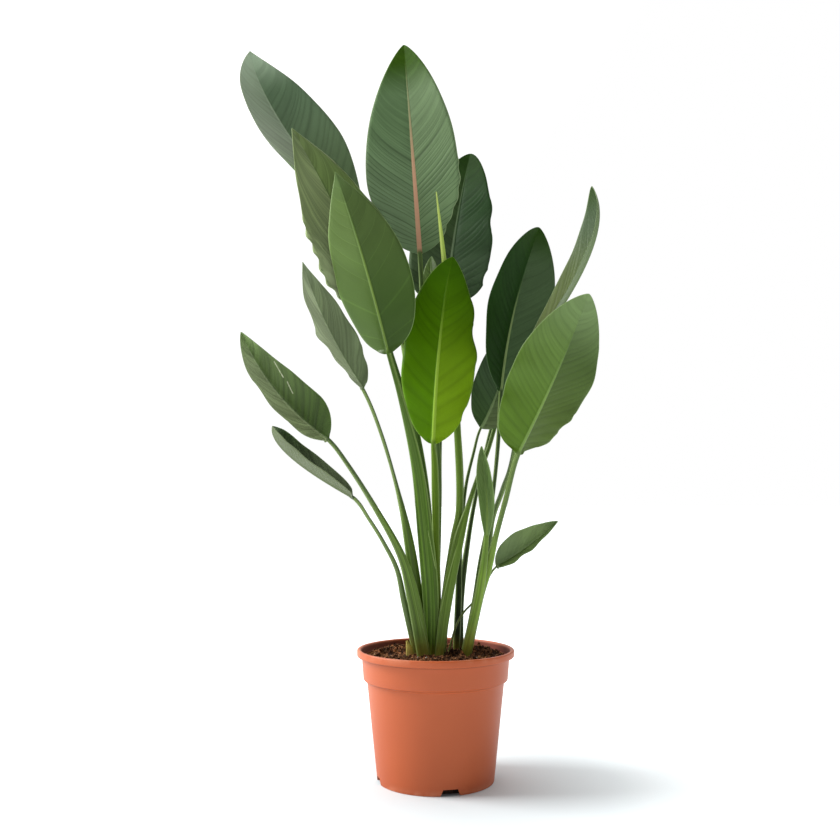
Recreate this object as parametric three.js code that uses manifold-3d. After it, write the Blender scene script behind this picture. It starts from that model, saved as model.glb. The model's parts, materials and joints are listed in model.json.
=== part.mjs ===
// A bird of paradise plant in a round plastic nursery pot.
// Millimetres, +Z up. The origin is the centre of the pot's flat base, on the ground.
// The plant is seen from -Y, with +X to the right.
import * as THREE from 'three';
import * as BufferGeometryUtils from 'three/addons/utils/BufferGeometryUtils.js';
import Module from 'manifold-3d';

// ---------------------------------------------------------------- driving dimensions

const GAP = 0.3; // clearance between pieces that touch
const STALK_GAP = 0.35; // clearance round a stalk, whose faces are flat between its points
const PAST = 8; // how far a cutter runs past what it cuts

// pot: a 21 cm nursery pot
const POT_HEIGHT = 170;
const RIM_RADIUS = 104.8; // outside of the rolled lip
const LIP_HEIGHT = 9.5; // the lip's own depth
const LIP_THICKNESS = 5;
const COLLAR_TOP_RADIUS = 98.5; // wall just under the lip
const COLLAR_FOOT_RADIUS = 96; // lower edge of the collar
const COLLAR_FOOT = 131; // height where the collar starts
const BODY_TOP_RADIUS = 91.6; // wall just under the collar
const BASE_RADIUS = 77.6;
const WALL = 2.2;
const FLOOR_THICKNESS = 2.6;
const POT_SIDES = 48;

// four drain notches round the foot, half in the wall and half in the base
const NOTCH_COUNT = 4;
const NOTCH_FIRST = -77; // degrees from +X
const NOTCH_WIDTH = 26;
const NOTCH_TOP_WIDTH = 19;
const NOTCH_HEIGHT = 8.5;
const NOTCH_DEPTH = 14;

// soil
const SOIL_EDGE = 159; // height where it meets the wall
const SOIL_CROWN = 162.5; // height at the middle

// leaves
const LAMINA = 1.2; // thickness of a blade
const TIP_RADIUS = 0.7;
const RIB_FOOT = 4.5; // half width of the raised rib under a blade
const SHEATH_DEPTH = 4.2; // half depth of a sheath, where the stalk is broad and flat
const STALK_RINGS = 8;
const BLADE_RINGS = 14;

const SOIL_BROWN = 0x3a2a20;
const TERRACOTTA = 0xc9673a;
const TONES = {
  grey: 0x55694c, // older blades with a bloom of grey
  mid: 0x4f6f33,
  dark: 0x24391f,
  young: 0x5f9410, // the newest open blade
  rolled: 0xa9bf5a, // the rolled new leaf
  dry: 0xb59a4a, // a withered leaf foot
};

// Each leaf rises from its root in the soil through the points of `stalk`, given as
// [x, y, z, half width]; the last of them is the neck, where the blade starts. The blade's rib is a
// parabola from the neck through `mid` to `tip`. `face` is the way its upper side looks. `half` is
// the half width at `widest`, a share of the length. `swell` and `taper` are the exponents of the
// outline below and above that place. `fold` lifts the left and right halves out of the flat, in
// degrees, and `curl` bends them further towards the margins. `twist` turns the blade from neck to
// tip. `wave` is the height, number and start of the waves along the margins. `rolled` is the
// radius of a new leaf that hasn't opened yet. Leaves of one fan wrap round each other.
const LEAVES = [
  {
    name: 'low_left', tone: 'grey', fan: 'main',
    stalk: [[-13, -17, 148, 9], [-29, -24, 236, 9], [-46, -32, 296, 5.6], [-82, -48, 362, 3.6],
      [-115, -60, 414, 3], [-139, -70, 445, 2.9]],
    mid: [-203, -88, 504], tip: [-248, -100, 580], face: [0.39, -0.91, 0.11],
    half: 38, widest: 0.27, swell: 0.65, taper: 0.88, fold: [38, 40], curl: [6, -6], twist: 30,
    wave: [1.6, 3, 0.4],
  },
  {
    name: 'back_right', tone: 'dark', fan: 'main',
    stalk: [[2, -17, 148, 5.8], [14, -15, 235, 7.5], [31, -8, 313, 7], [45, 4, 360, 3.6],
      [59, 22, 399, 3.1], [79, 58, 448, 3.1], [106, 96, 536, 3.1]],
    mid: [138, 140, 638], tip: [170, 192, 732], face: [0.09, -0.89, 0.45],
    half: 38, widest: 0.4, swell: 0.6, taper: 0.8, fold: [14, 14], curl: [6, 6], wave: [1.5, 3, 1],
  },
  {
    name: 'low_left_folded', tone: 'grey', fan: 'main',
    stalk: [[-22, -7, 148, 5], [-41, -13, 229, 4.2], [-51, -22, 275, 3.2], [-68, -37, 311, 2.7],
      [-86, -58, 342, 2.6], [-105, -79, 370, 2.6]],
    mid: [-184, -102, 422], tip: [-204, -117, 459], face: [0.43, -0.32, 0.85],
    half: 25, widest: 0.4, swell: 0.45, taper: 0.5, fold: [43, 43], curl: [6, 6], wave: [0.8, 3, 2],
  },
  {
    name: 'front_left', tone: 'mid', fan: 'main',
    stalk: [[-6, -7, 148, 5.5], [-5, -12, 235, 11], [-14, -21, 325, 10.6], [-25, -33, 414, 8],
      [-45, -44, 499, 4.4], [-62, -51, 560, 3.2]],
    mid: [-99, -64, 696], tip: [-133, -68, 800], face: [-0.22, -0.97, -0.13],
    half: 56, widest: 0.33, swell: 0.4, taper: 1.25, fold: [-19, -18], curl: [-5, 7], twist: -25,
    wave: [1.5, 3, 0],
  },
  {
    name: 'young_centre', tone: 'young', fan: 'main',
    stalk: [[4, -7, 148, 4], [3, -8, 235, 4.5], [1, -10, 314, 4.6], [0, -13, 368, 5.2],
      [-1, -15, 415, 4.6], [-3, -16, 443, 3.1]],
    mid: [7, -18, 591], tip: [24, -12, 700], face: [-0.09, -1, 0.03],
    half: 53, widest: 0.37, swell: 0.42, taper: 0.78, fold: [-16, -16], curl: [6, -18], twist: -20,
    wave: [3, 3, 0.6],
  },
  {
    name: 'mid_left', tone: 'grey', fan: 'main',
    stalk: [[-17, 2, 148, 7], [-25, -4, 234, 9], [-36, -16, 314, 6.7], [-51, -32, 383, 2.9],
      [-72, -48, 455, 2.6], [-95, -62, 511, 2.6]],
    mid: [-142, -72, 593], tip: [-175, -66, 679], face: [0.68, -0.66, 0.31],
    half: 36, widest: 0.31, swell: 0.45, taper: 1.2, fold: [20, 20], curl: [-8, 0], twist: 36,
    wave: [2, 3, 1.2],
  },
  {
    name: 'top', tone: 'grey', fan: 'main',
    stalk: [[-5, 3, 148, 5], [-1, 4, 233, 5], [4, 8, 341, 4.4], [3, 16, 442, 4],
      [-14, 32, 606, 3.6], [-21, 40, 718, 3.3]],
    mid: [-32, 52, 876], tip: [-45, 70, 1043], face: [-0.16, -0.98, 0.08],
    half: 70, widest: 0.37, swell: 0.78, taper: 0.81, fold: [14, 14], curl: [-2, 4], twist: 13,
    wave: [1.5, 3, 0],
  },
  {
    name: 'spear', tone: 'rolled', fan: 'main', rolled: 5,
    stalk: [[7, 3, 148, 5], [14, 4, 233, 6.4], [25, 5, 311, 5.6], [33, 7, 361, 4.8],
      [31, 9, 454, 4.9], [22, 10, 603, 5]],
    mid: [13, 10, 699], tip: [2, 10, 799], face: [-0.05, -1, 0],
  },
  {
    name: 'left_back', tone: 'mid', fan: 'main',
    stalk: [[-13, 12, 148, 5.4], [-11, 16, 232, 5.4], [-9, 18, 340, 5.2], [-24, 18, 450, 5],
      [-44, 17, 517, 3.6], [-69, 16, 598, 3]],
    mid: [-118, 14, 731], tip: [-204, 26, 897], face: [0.5, -0.8, 0.33],
    half: 71, widest: 0.45, swell: 0.8, taper: 1, fold: [8, 8], curl: [-10, 10], twist: -10,
    wave: [3, 4, 0.5],
  },
  {
    name: 'right_of_top', tone: 'dark', fan: 'main',
    stalk: [[-2, 12, 148, 5], [1, 20, 232, 4.6], [5, 34, 340, 4], [7, 48, 452, 3.4],
      [13, 62, 554, 3.2], [19, 74, 651, 3]],
    mid: [31, 92, 760], tip: [56, 120, 895], face: [-0.26, -0.94, 0.21],
    half: 63, widest: 0.37, swell: 0.32, taper: 0.63, fold: [12, 13], curl: [1, 2], twist: 15,
    wave: [2.6, 4, 0.8],
  },
  {
    name: 'small_centre_back', tone: 'dark', fan: 'main',
    stalk: [[9, 12, 148, 4.2], [17, 18, 232, 4], [30, 26, 313, 3.2], [37, 32, 361, 2.8],
      [36, 40, 440, 2.5], [26, 50, 552, 2], [9, 56, 628, 2]],
    mid: [-2, 56, 677], tip: [-4, 58, 719], face: [-0.5, -0.84, 0],
    half: 18, widest: 0.36, swell: 0.7, taper: 0.9, fold: [10, 10], curl: [0, 0], wave: [0.8, 2, 0],
  },
  {
    name: 'upper_left', tone: 'grey', fan: 'main',
    stalk: [[-10, 21, 148, 5.4], [-13, 28, 231, 5.2], [-18, 38, 340, 4.6], [-25, 46, 452, 4],
      [-55, 62, 641, 3.5], [-93, 70, 753, 3.3]],
    mid: [-223, 88, 920], tip: [-278, 92, 1044], face: [0.5, -0.8, 0.34],
    half: 70, widest: 0.39, swell: 1.3, taper: 1.02, fold: [21, 20], curl: [0, 12], twist: 13,
    wave: [1.5, 3, 0],
  },
  {
    name: 'small_right_front', tone: 'mid', fan: 'right',
    stalk: [[35, -12, 148, 7], [54, -15, 225, 6.5], [61, -19, 264, 5.9], [65, -23, 294, 4.5],
      [67, -27, 319, 3.4]],
    mid: [67, -38, 378], tip: [60, -46, 438], face: [-0.23, -0.96, -0.14],
    half: 14, widest: 0.49, swell: 0.9, taper: 0.86, fold: [36, 36], curl: [8, 4], twist: 30,
    wave: [0.6, 2, 0],
  },
  {
    name: 'right_front', tone: 'mid', fan: 'right',
    stalk: [[38, -3, 148, 7], [57, -6, 235, 7], [70, -13, 277, 5.6], [80, -22, 320, 3.8],
      [92, -31, 366, 3.7], [108, -44, 428, 3.6]],
    mid: [155, -66, 528], tip: [196, -92, 631], face: [0.35, -0.87, -0.36],
    half: 58, widest: 0.45, swell: 0.55, taper: 0.74, fold: [-20, -20], curl: [2, 29], twist: 22,
    wave: [2.6, 4, 0.3],
  },
  {
    name: 'right_tall', tone: 'grey', fan: 'right',
    stalk: [[39, 5, 148, 5.4], [56, 5, 233, 5.4], [69, 2, 287, 4.6], [77, -2, 341, 3.5],
      [91, -6, 382, 3.4], [105, -12, 429, 3.3], [128, -16, 568, 3.2]],
    mid: [211, -18, 708], tip: [214, -20, 796], face: [-0.96, -0.28, 0.1],
    half: 30, widest: 0.45, swell: 0.5, taper: 0.7, fold: [34, 34], curl: [0, 0], wave: [0.8, 3, 0],
  },
  {
    name: 'right_mid', tone: 'dark', fan: 'right',
    stalk: [[38, 14, 148, 5.5], [55, 18, 229, 5.5], [64, 21, 286, 4.7], [78, 24, 361, 2.8],
      [87, 24, 440, 2.9], [92, 24, 518, 3]],
    mid: [112, 30, 635], tip: [152, 56, 761], face: [0.36, -0.93, 0.03],
    half: 53, widest: 0.51, swell: 0.77, taper: 0.75, fold: [27, 26], curl: [-7, 5], twist: -8,
    wave: [1.5, 3, 0],
  },
  {
    name: 'right_inner', tone: 'dark', fan: 'back',
    stalk: [[28, 28, 148, 5], [32, 33, 228, 4.7], [35, 40, 305, 3.4], [43, 48, 382, 2.4],
      [55, 56, 433, 2.1], [66, 60, 470, 1.8]],
    mid: [89, 66, 519], tip: [122, 80, 615], face: [0.08, -0.99, 0.14],
    half: 39, widest: 0.6, swell: 0.8, taper: 0.5, fold: [14, 14], curl: [3, 1], twist: 3,
    wave: [1.2, 3, 0],
  },
  {
    name: 'back_low', tone: 'dark', fan: 'back',
    stalk: [[34, 36, 148, 5.3], [35, 42, 227, 5.3], [46, 56, 305, 3.7], [58, 72, 368, 2.9],
      [77, 92, 448, 2.5], [97, 112, 519, 2.4]],
    mid: [120, 152, 594], tip: [145, 205, 670], face: [0.1, -0.86, 0.49],
    half: 34, widest: 0.4, swell: 0.6, taper: 0.8, fold: [14, 14], curl: [6, 6], wave: [1.4, 3, 2],
  },
  {
    name: 'low_right', tone: 'mid', fan: 'offset',
    stalk: [[14, 8, 148, 1.5], [26, 14, 192, 1.4], [38, 20, 214, 1.4], [54, 25, 231, 1.4],
      [73, 29, 261, 1.4], [84, 27, 276, 1.4]],
    mid: [127, 17, 304], tip: [165, -4, 339], face: [-0.31, -0.86, 0.41],
    half: 25, widest: 0.38, swell: 0.5, taper: 0.8, fold: [42, 48], curl: [0, 0], wave: [1.4, 3, 0],
  },
];

// Foot of a withered leaf, left standing beside the clump.
const DRY_FOOT = {
  path: [[-33, -13, 152], [-33.5, -13.5, 163], [-35, -14, 173], [-38, -14, 181]],
  halfWidth: [6, 5.6, 4, 1.2],
  depth: [2, 1.8, 1.3, 0.6],
};

// ---------------------------------------------------------------- small helpers

const wasm = await Module();
wasm.setup();

const radians = THREE.MathUtils.degToRad;
const lerp = THREE.MathUtils.lerp;
const smoothstep = THREE.MathUtils.smoothstep;
const vector = ([x, y, z]) => new THREE.Vector3(x, y, z);
const FAN_FACE = new THREE.Vector3(0, -1, 0); // the broad side of the sheaths

// A closed geometry as a manifold-3d solid.
function solidOf(geometry) {
  const plain = geometry.clone();
  plain.deleteAttribute('normal');
  plain.deleteAttribute('uv');
  const merged = BufferGeometryUtils.mergeVertices(plain, 1e-4);
  return new wasm.Manifold(new wasm.Mesh({
    numProp: 3,
    vertProperties: merged.attributes.position.array,
    triVerts: new Uint32Array(merged.index.array),
  }));
}

// A manifold-3d solid as a three.js geometry. Specks that a cut leaves loose are dropped.
function geometryOf(solid) {
  const bodies = solid.decompose();
  const body = bodies.reduce((a, b) => (a.volume() > b.volume() ? a : b));
  const { vertProperties, triVerts } = body.getMesh();
  const geometry = new THREE.BufferGeometry();
  geometry.setAttribute('position', new THREE.BufferAttribute(vertProperties, 3));
  geometry.setIndex(new THREE.BufferAttribute(triVerts, 1));
  return geometry;
}

function meshOf(name, geometry, color, roughness) {
  geometry.computeVertexNormals();
  const material = new THREE.MeshStandardMaterial({ name, color, roughness, metalness: 0 });
  const mesh = new THREE.Mesh(geometry, material);
  mesh.name = name;
  return mesh;
}

// A profile of [radius, height] pairs turned round the Z axis.
function turned(profile) {
  const points = profile.map(([r, z]) => new THREE.Vector2(r, z));
  return new THREE.LatheGeometry(points, POT_SIDES).rotateX(Math.PI / 2);
}

// ---------------------------------------------------------------- pot

// outer radius of the pot's wall at a height
function wallRadius(z) {
  if (z < COLLAR_FOOT) return lerp(BASE_RADIUS, BODY_TOP_RADIUS, z / COLLAR_FOOT);
  const collar = POT_HEIGHT - LIP_HEIGHT - COLLAR_FOOT;
  return lerp(COLLAR_FOOT_RADIUS, COLLAR_TOP_RADIUS, (z - COLLAR_FOOT) / collar);
}

function makePot() {
  const lipFoot = POT_HEIGHT - LIP_HEIGHT;
  const step = COLLAR_FOOT - 2; // the body's wall turns out to the collar here
  const shell = solidOf(turned([
    [0, 0],
    [BASE_RADIUS - 1.4, 0],
    [wallRadius(1.5), 1.5],
    [wallRadius(step), step],
    [COLLAR_FOOT_RADIUS - 0.5, COLLAR_FOOT - 0.5],
    [COLLAR_FOOT_RADIUS, COLLAR_FOOT + 1],
    [COLLAR_TOP_RADIUS, lipFoot],
    [RIM_RADIUS - 0.8, lipFoot + 0.4],
    [RIM_RADIUS, lipFoot + 1.6],
    [RIM_RADIUS, POT_HEIGHT - 1.6],
    [RIM_RADIUS - 1.2, POT_HEIGHT - 0.3],
    [RIM_RADIUS - LIP_THICKNESS / 2, POT_HEIGHT],
    [RIM_RADIUS - LIP_THICKNESS + 0.4, POT_HEIGHT - 0.5],
    [RIM_RADIUS - LIP_THICKNESS, POT_HEIGHT - 2],
    [COLLAR_TOP_RADIUS - WALL, lipFoot - 1],
    [COLLAR_FOOT_RADIUS - WALL, COLLAR_FOOT + 2.2],
    [wallRadius(step) - WALL, step + 0.8],
    [wallRadius(FLOOR_THICKNESS) - WALL, FLOOR_THICKNESS],
    [0, FLOOR_THICKNESS],
  ]));
  const notch = new THREE.Shape([
    new THREE.Vector2(-NOTCH_WIDTH / 2, -PAST),
    new THREE.Vector2(NOTCH_WIDTH / 2, -PAST),
    new THREE.Vector2(NOTCH_WIDTH / 2, 0),
    new THREE.Vector2(NOTCH_TOP_WIDTH / 2, NOTCH_HEIGHT),
    new THREE.Vector2(-NOTCH_TOP_WIDTH / 2, NOTCH_HEIGHT),
    new THREE.Vector2(-NOTCH_WIDTH / 2, 0),
  ]);
  let pot = shell;
  for (let i = 0; i < NOTCH_COUNT; i++) {
    const cutter = new THREE.ExtrudeGeometry(notch, { depth: NOTCH_DEPTH + PAST, bevelEnabled: false });
    cutter.rotateX(Math.PI / 2).rotateZ(Math.PI / 2); // its width along Y, its depth along X
    cutter.translate(BASE_RADIUS - NOTCH_DEPTH, 0, 0);
    cutter.rotateZ(radians(NOTCH_FIRST + (i * 360) / NOTCH_COUNT));
    pot = pot.subtract(solidOf(cutter));
  }
  return pot;
}

// The soil fills the pot to just under its lip, a little higher in the middle.
function makeSoil() {
  const side = (z) => wallRadius(z) - WALL - GAP;
  return solidOf(turned([
    [0, FLOOR_THICKNESS + GAP],
    [side(FLOOR_THICKNESS + GAP), FLOOR_THICKNESS + GAP],
    [side(COLLAR_FOOT - 2) - 0.1, COLLAR_FOOT - 1],
    [COLLAR_FOOT_RADIUS - WALL - GAP - 0.1, COLLAR_FOOT + 2.7],
    [side(SOIL_EDGE), SOIL_EDGE],
    [88, SOIL_EDGE + 0.8],
    [50, SOIL_CROWN - 1],
    [0, SOIL_CROWN],
  ]));
}

// ---------------------------------------------------------------- leaves

// Point of a curve through p1 and p2, with p0 and p3 beyond them, at t from 0 to 1.
function throughPoints(p0, p1, p2, p3, t) {
  const point = p1.clone().multiplyScalar(2);
  point.addScaledVector(p2.clone().sub(p0), t);
  const second = p0.clone().multiplyScalar(2).addScaledVector(p1, -5).addScaledVector(p2, 4).sub(p3);
  point.addScaledVector(second, t * t);
  const third = p3.clone().sub(p0).addScaledVector(p1, 3).addScaledVector(p2, -3);
  point.addScaledVector(third, t * t * t);
  return point.multiplyScalar(0.5);
}

const neckOf = (leaf) => vector(leaf.stalk.at(-1));
const neckHalfWidth = (leaf) => leaf.stalk.at(-1)[3];

// Parabola from the neck through the middle of the rib to the tip, at u from 0 to 1.
function ribPoint(leaf, u) {
  return neckOf(leaf).multiplyScalar((1 - u) * (1 - 2 * u))
    .addScaledVector(vector(leaf.mid), 4 * u * (1 - u))
    .addScaledVector(vector(leaf.tip), u * (2 * u - 1));
}

// Centres of the stalk's cross-sections from root to neck, with the half width as fourth number.
function stalkCentres(leaf) {
  const points = leaf.stalk.map((numbers) => new THREE.Vector4(...numbers));
  const last = neckOf(leaf).distanceTo(vector(leaf.stalk.at(-2)));
  const ahead = ribPoint(leaf, 0.01).sub(neckOf(leaf)).setLength(last);
  points.unshift(points[0].clone().multiplyScalar(2).sub(points[1]));
  points.push(points.at(-1).clone().add(new THREE.Vector4(ahead.x, ahead.y, ahead.z, 0)));
  const spans = points.length - 3;
  const centres = [];
  for (let i = 0; i <= STALK_RINGS; i++) {
    const at = (i / STALK_RINGS) * spans;
    const k = Math.min(Math.floor(at), spans - 1);
    centres.push(throughPoints(points[k], points[k + 1], points[k + 2], points[k + 3], at - k));
  }
  return centres;
}

// Half width of the blade at u: it swells from the neck to its widest place and tapers to the tip.
function bladeHalfWidth(leaf, u) {
  const below = u < leaf.widest;
  const s = Math.abs(u - leaf.widest) / (below ? leaf.widest : 1 - leaf.widest);
  const end = below ? neckHalfWidth(leaf) : TIP_RADIUS;
  const exponent = below ? leaf.swell : leaf.taper;
  return end + (leaf.half - end) * Math.max(0, 1 - s * s) ** exponent;
}

// The seven places across a leaf where it has points, as shares of the half width.
function columns(halfWidth, blade) {
  const round = [-0.966, -0.75, -0.4, 0, 0.4, 0.75, 0.966]; // on a stalk
  const foot = Math.min(0.4, RIB_FOOT / halfWidth);
  const flat = [-1, -0.58, -foot, 0, foot, 0.58, 1]; // on a blade
  return round.map((v, i) => lerp(v, flat[i], blade));
}

// One closed section: seven points on the upper face, then seven back along the under face.
// `looks` is the way the upper face looks; `blade` goes from 0 on the stalk to 1 on the blade.
function section(leaf, centre, along, looks, halfWidth, ribDepth, blade, u, grow = 0) {
  const face = looks.clone().addScaledVector(along, -looks.dot(along)).normalize();
  const twist = radians(leaf.twist ?? 0) * (u - 0.5);
  face.applyAxisAngle(along, -twist);
  const side = new THREE.Vector3().crossVectors(along, face);
  const [height, number, start] = leaf.wave ?? [0, 1, 0];
  const upper = [];
  const under = [];
  for (const v of columns(halfWidth, blade)) {
    const left = v < 0;
    const sign = Math.sign(v);
    const reach = Math.abs(v) * (halfWidth + grow);
    const fold = radians(leaf.fold?.[left ? 0 : 1] ?? 0) * blade;
    const curl = (radians(leaf.curl?.[left ? 0 : 1] ?? 0) * blade * reach) / (leaf.half ?? 1) / 2;
    const chord = reach * (Math.abs(curl) < 1e-6 ? 1 : Math.sin(curl) / curl);
    const angle = fold + curl;
    const point = centre.clone()
      .addScaledVector(side, sign * chord * Math.cos(angle))
      .addScaledVector(face, chord * Math.sin(angle));
    const tilt = fold + 2 * curl; // slope of the lamina here
    const normal = face.clone().multiplyScalar(Math.cos(tilt)).addScaledVector(side, -sign * Math.sin(tilt));
    const wave = height * blade * v * v * Math.sin(2 * Math.PI * number * u + start + (left ? 2 : 0));
    point.addScaledVector(normal, wave * Math.sin(Math.PI * Math.min(1, 1.15 * u)));
    const round = (ribDepth + grow) * Math.sqrt(Math.max(0, 1 - v * v));
    const rib = v === 0 ? ribDepth : LAMINA / 2;
    upper.push(point.clone().addScaledVector(normal, lerp(round, LAMINA / 2, blade)));
    under.push(point.clone().addScaledVector(normal, -lerp(round, rib, blade)));
  }
  return [...upper, ...under.reverse()];
}

// A closed skin over a row of sections with equally many points. Both faces of a leaf are split
// into triangles along the same diagonals, so that a thin waved blade never meets itself.
function loft(rings) {
  const size = rings[0].length;
  const half = size / 2;
  const position = rings.flat().flatMap((p) => [p.x, p.y, p.z]);
  const index = [];
  for (let i = 0; i + 1 < rings.length; i++) {
    for (let k = 0; k < size; k++) {
      const next = (k + 1) % size;
      const [a, b] = [i * size + k, i * size + next];
      const [c, d] = [a + size, b + size];
      if (k < half) index.push(a, b, d, a, d, c);
      else index.push(a, b, c, b, d, c);
    }
  }
  const last = (rings.length - 1) * size;
  for (let k = 0; k + 1 < half; k++) {
    const [a, b, c, d] = [k, k + 1, size - 2 - k, size - 1 - k];
    if (a !== d) index.push(a, d, b);
    if (b !== c) index.push(b, d, c);
    if (a !== d) index.push(last + a, last + b, last + d);
    if (b !== c) index.push(last + b, last + c, last + d);
  }
  const geometry = new THREE.BufferGeometry();
  geometry.setAttribute('position', new THREE.Float32BufferAttribute(position, 3));
  geometry.setIndex(index);
  return geometry;
}

// The stalk's sections: a broad flat sheath near the root, which narrows to a slim round stalk.
function stalkRings(leaf, grow = 0) {
  const centres = stalkCentres(leaf);
  return centres.map((centre, i) => {
    const ahead = i < STALK_RINGS ? vector(centres[i + 1].toArray()) : ribPoint(leaf, 0.02);
    const behind = vector((centres[i - 1] ?? centre).toArray());
    const halfWidth = centre.w;
    const depth = 0.92 * Math.min(halfWidth, SHEATH_DEPTH);
    const place = vector(centre.toArray());
    const looks = FAN_FACE.clone().lerp(vector(leaf.face), smoothstep(i / STALK_RINGS, 0.3, 1));
    return section(leaf, place, ahead.sub(behind).normalize(), looks, halfWidth, depth, 0, 0, grow);
  });
}

// The blade's sections, closer together at the neck and at the tip.
function bladeRings(leaf) {
  const rings = [];
  const looks = vector(leaf.face);
  for (let i = 1; i <= BLADE_RINGS; i++) {
    const even = i / BLADE_RINGS;
    const u = 0.3 * even + 0.35 * (1 - Math.cos(Math.PI * even));
    const centre = ribPoint(leaf, u);
    const along = ribPoint(leaf, u + 0.005).sub(ribPoint(leaf, u - 0.005)).normalize();
    if (leaf.rolled) {
      const radius = lerp(leaf.rolled, TIP_RADIUS, u ** 1.6);
      rings.push(section(leaf, centre, along, looks, radius, radius, 0, u));
      continue;
    }
    const blade = smoothstep(u, 0, 0.03);
    const rib = lerp(0.92 * neckHalfWidth(leaf), LAMINA / 2, u ** 0.7);
    rings.push(section(leaf, centre, along, looks, bladeHalfWidth(leaf, u), rib, blade, u));
  }
  return rings;
}

// The space that a stalk takes up, with the clearance round it.
function stalkRoom(leaf) {
  const rings = stalkRings(leaf, STALK_GAP);
  const down = rings[1][0].clone().sub(rings[0][0]).setLength(GAP);
  rings[0] = rings[0].map((p) => p.clone().sub(down));
  return solidOf(loft(rings));
}

function makeDryFoot(grow = 0) {
  const centres = DRY_FOOT.path.map(vector);
  centres[0].z -= grow;
  const rings = centres.map((centre, i) => {
    const along = (centres[i + 1] ?? centre).clone().sub(centres[i - 1] ?? centre).normalize();
    return section(DRY_FOOT, centre, along, FAN_FACE, DRY_FOOT.halfWidth[i], DRY_FOOT.depth[i], 0, 0, grow);
  });
  return solidOf(loft(rings));
}

// ---------------------------------------------------------------- the plant

const plant = new THREE.Group();
plant.name = 'bird_of_paradise';
plant.add(meshOf('pot', geometryOf(makePot()), TERRACOTTA, 0.55));

// In each fan the outer sheaths stand as they are, and the inner ones give way to them.
const rooms = LEAVES.map(stalkRoom);
for (const [i, leaf] of LEAVES.entries()) {
  let solid = solidOf(loft([...stalkRings(leaf), ...bladeRings(leaf)]));
  for (let j = 0; j < i; j++) {
    if (LEAVES[j].fan === leaf.fan) solid = solid.subtract(rooms[j]);
  }
  plant.add(meshOf(`leaf_${leaf.name}`, geometryOf(solid), TONES[leaf.tone], 0.5));
}
const dryFoot = wasm.Manifold.difference([makeDryFoot(), ...rooms]);
plant.add(meshOf('dry_leaf_foot', geometryOf(dryFoot), TONES.dry, 0.8));

// The soil has a hole for every stalk.
const soil = wasm.Manifold.difference([makeSoil(), ...rooms, makeDryFoot(GAP)]);
plant.add(meshOf('soil', geometryOf(soil), SOIL_BROWN, 0.95));

export default plant;
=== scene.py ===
# %% [markdown]
# # A bird of paradise in its nursery pot
# The plant is a fan of leaves. Each leaf is one grown piece: a broad sheath that clasps its neighbours,
# a slim stalk, and a paddle blade with a stout midrib and close side veins. They stand in coarse soil
# in a moulded terracotta-coloured pot. The construction comes from the frame, which gives every piece
# its place, and this script gives each piece its fine surface and its finish.

import json
import math

import bmesh
import bpy
import numpy as np
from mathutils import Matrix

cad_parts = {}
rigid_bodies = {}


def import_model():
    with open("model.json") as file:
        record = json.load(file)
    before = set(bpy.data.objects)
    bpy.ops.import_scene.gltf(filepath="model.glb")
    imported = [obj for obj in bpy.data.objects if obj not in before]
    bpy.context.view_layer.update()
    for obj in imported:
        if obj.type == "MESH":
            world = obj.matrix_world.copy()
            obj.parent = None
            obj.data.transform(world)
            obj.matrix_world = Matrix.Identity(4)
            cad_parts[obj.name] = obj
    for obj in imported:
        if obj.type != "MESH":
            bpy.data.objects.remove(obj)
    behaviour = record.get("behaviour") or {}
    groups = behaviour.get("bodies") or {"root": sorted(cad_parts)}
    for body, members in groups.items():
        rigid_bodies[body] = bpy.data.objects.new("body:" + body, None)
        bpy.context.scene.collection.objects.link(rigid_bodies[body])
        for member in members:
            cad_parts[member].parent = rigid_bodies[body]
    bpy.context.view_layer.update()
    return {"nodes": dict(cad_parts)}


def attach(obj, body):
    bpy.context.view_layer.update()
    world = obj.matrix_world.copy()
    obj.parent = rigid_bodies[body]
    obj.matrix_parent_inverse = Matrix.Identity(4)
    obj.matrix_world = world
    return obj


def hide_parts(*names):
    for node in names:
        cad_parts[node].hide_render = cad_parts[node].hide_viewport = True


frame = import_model()
MM = 0.001  # the sizes below are in millimetres, and Blender's are in metres
print("nodes in the frame:", len(frame["nodes"]))

# %% [markdown]
# ## Camera
# The camera comes first, because every later choice is judged through it. It stands a little over a
# metre away at table height and looks slightly up, so verticals lean in a little at the top, as they
# do in a real product shot. Pitching the camera keeps its lens centred, which is why no shift is used.

# %% Camera
CAMERA_PLACE = (-20.8, -1291, 366.5)  # in millimetres
CAMERA_PITCH = 0.085  # radians above the horizon
FOCAL_PIXELS = 949.1  # focal length for a frame 840 pixels wide
FRAME_PIXELS = 840
SENSOR_WIDTH = 36

camera_data = bpy.data.cameras.new("camera")
camera_data.sensor_width = SENSOR_WIDTH
camera_data.lens = FOCAL_PIXELS / FRAME_PIXELS * camera_data.sensor_width
camera = bpy.data.objects.new("camera", camera_data)
camera.location = [x * MM for x in CAMERA_PLACE]
camera.rotation_euler = (math.pi / 2 + CAMERA_PITCH, 0, 0)
bpy.context.scene.collection.objects.link(camera)
bpy.context.scene.camera = camera
bpy.context.scene.view_settings.view_transform = "Standard"
print("lens:", round(camera_data.lens, 2), "mm")

# %% [markdown]
# ## Surfaces as arrays
# A leaf, a pot wall and a crumb of soil are all worked out as arrays of points. A row of closed
# sections, each with the same number of points, becomes one closed skin: quads run between the
# sections, and a cap closes each end. Writing whole arrays into the mesh is quick and keeps the
# formulas readable.


# %% Helpers for shapes
def smoothstep(x, low, high):
    """0 below low, 1 above high, and 3t²-2t³ between them, where t is the share of the way."""
    t = np.clip((x - low) / (high - low), 0, 1)
    return t * t * (3 - 2 * t)


def mix(a, b, share):
    """a where share is 0 and b where it is 1."""
    return a + (b - a) * share


def unit(vectors):
    """Each vector divided by its length."""
    return vectors / np.linalg.norm(vectors, axis=-1, keepdims=True)


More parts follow.
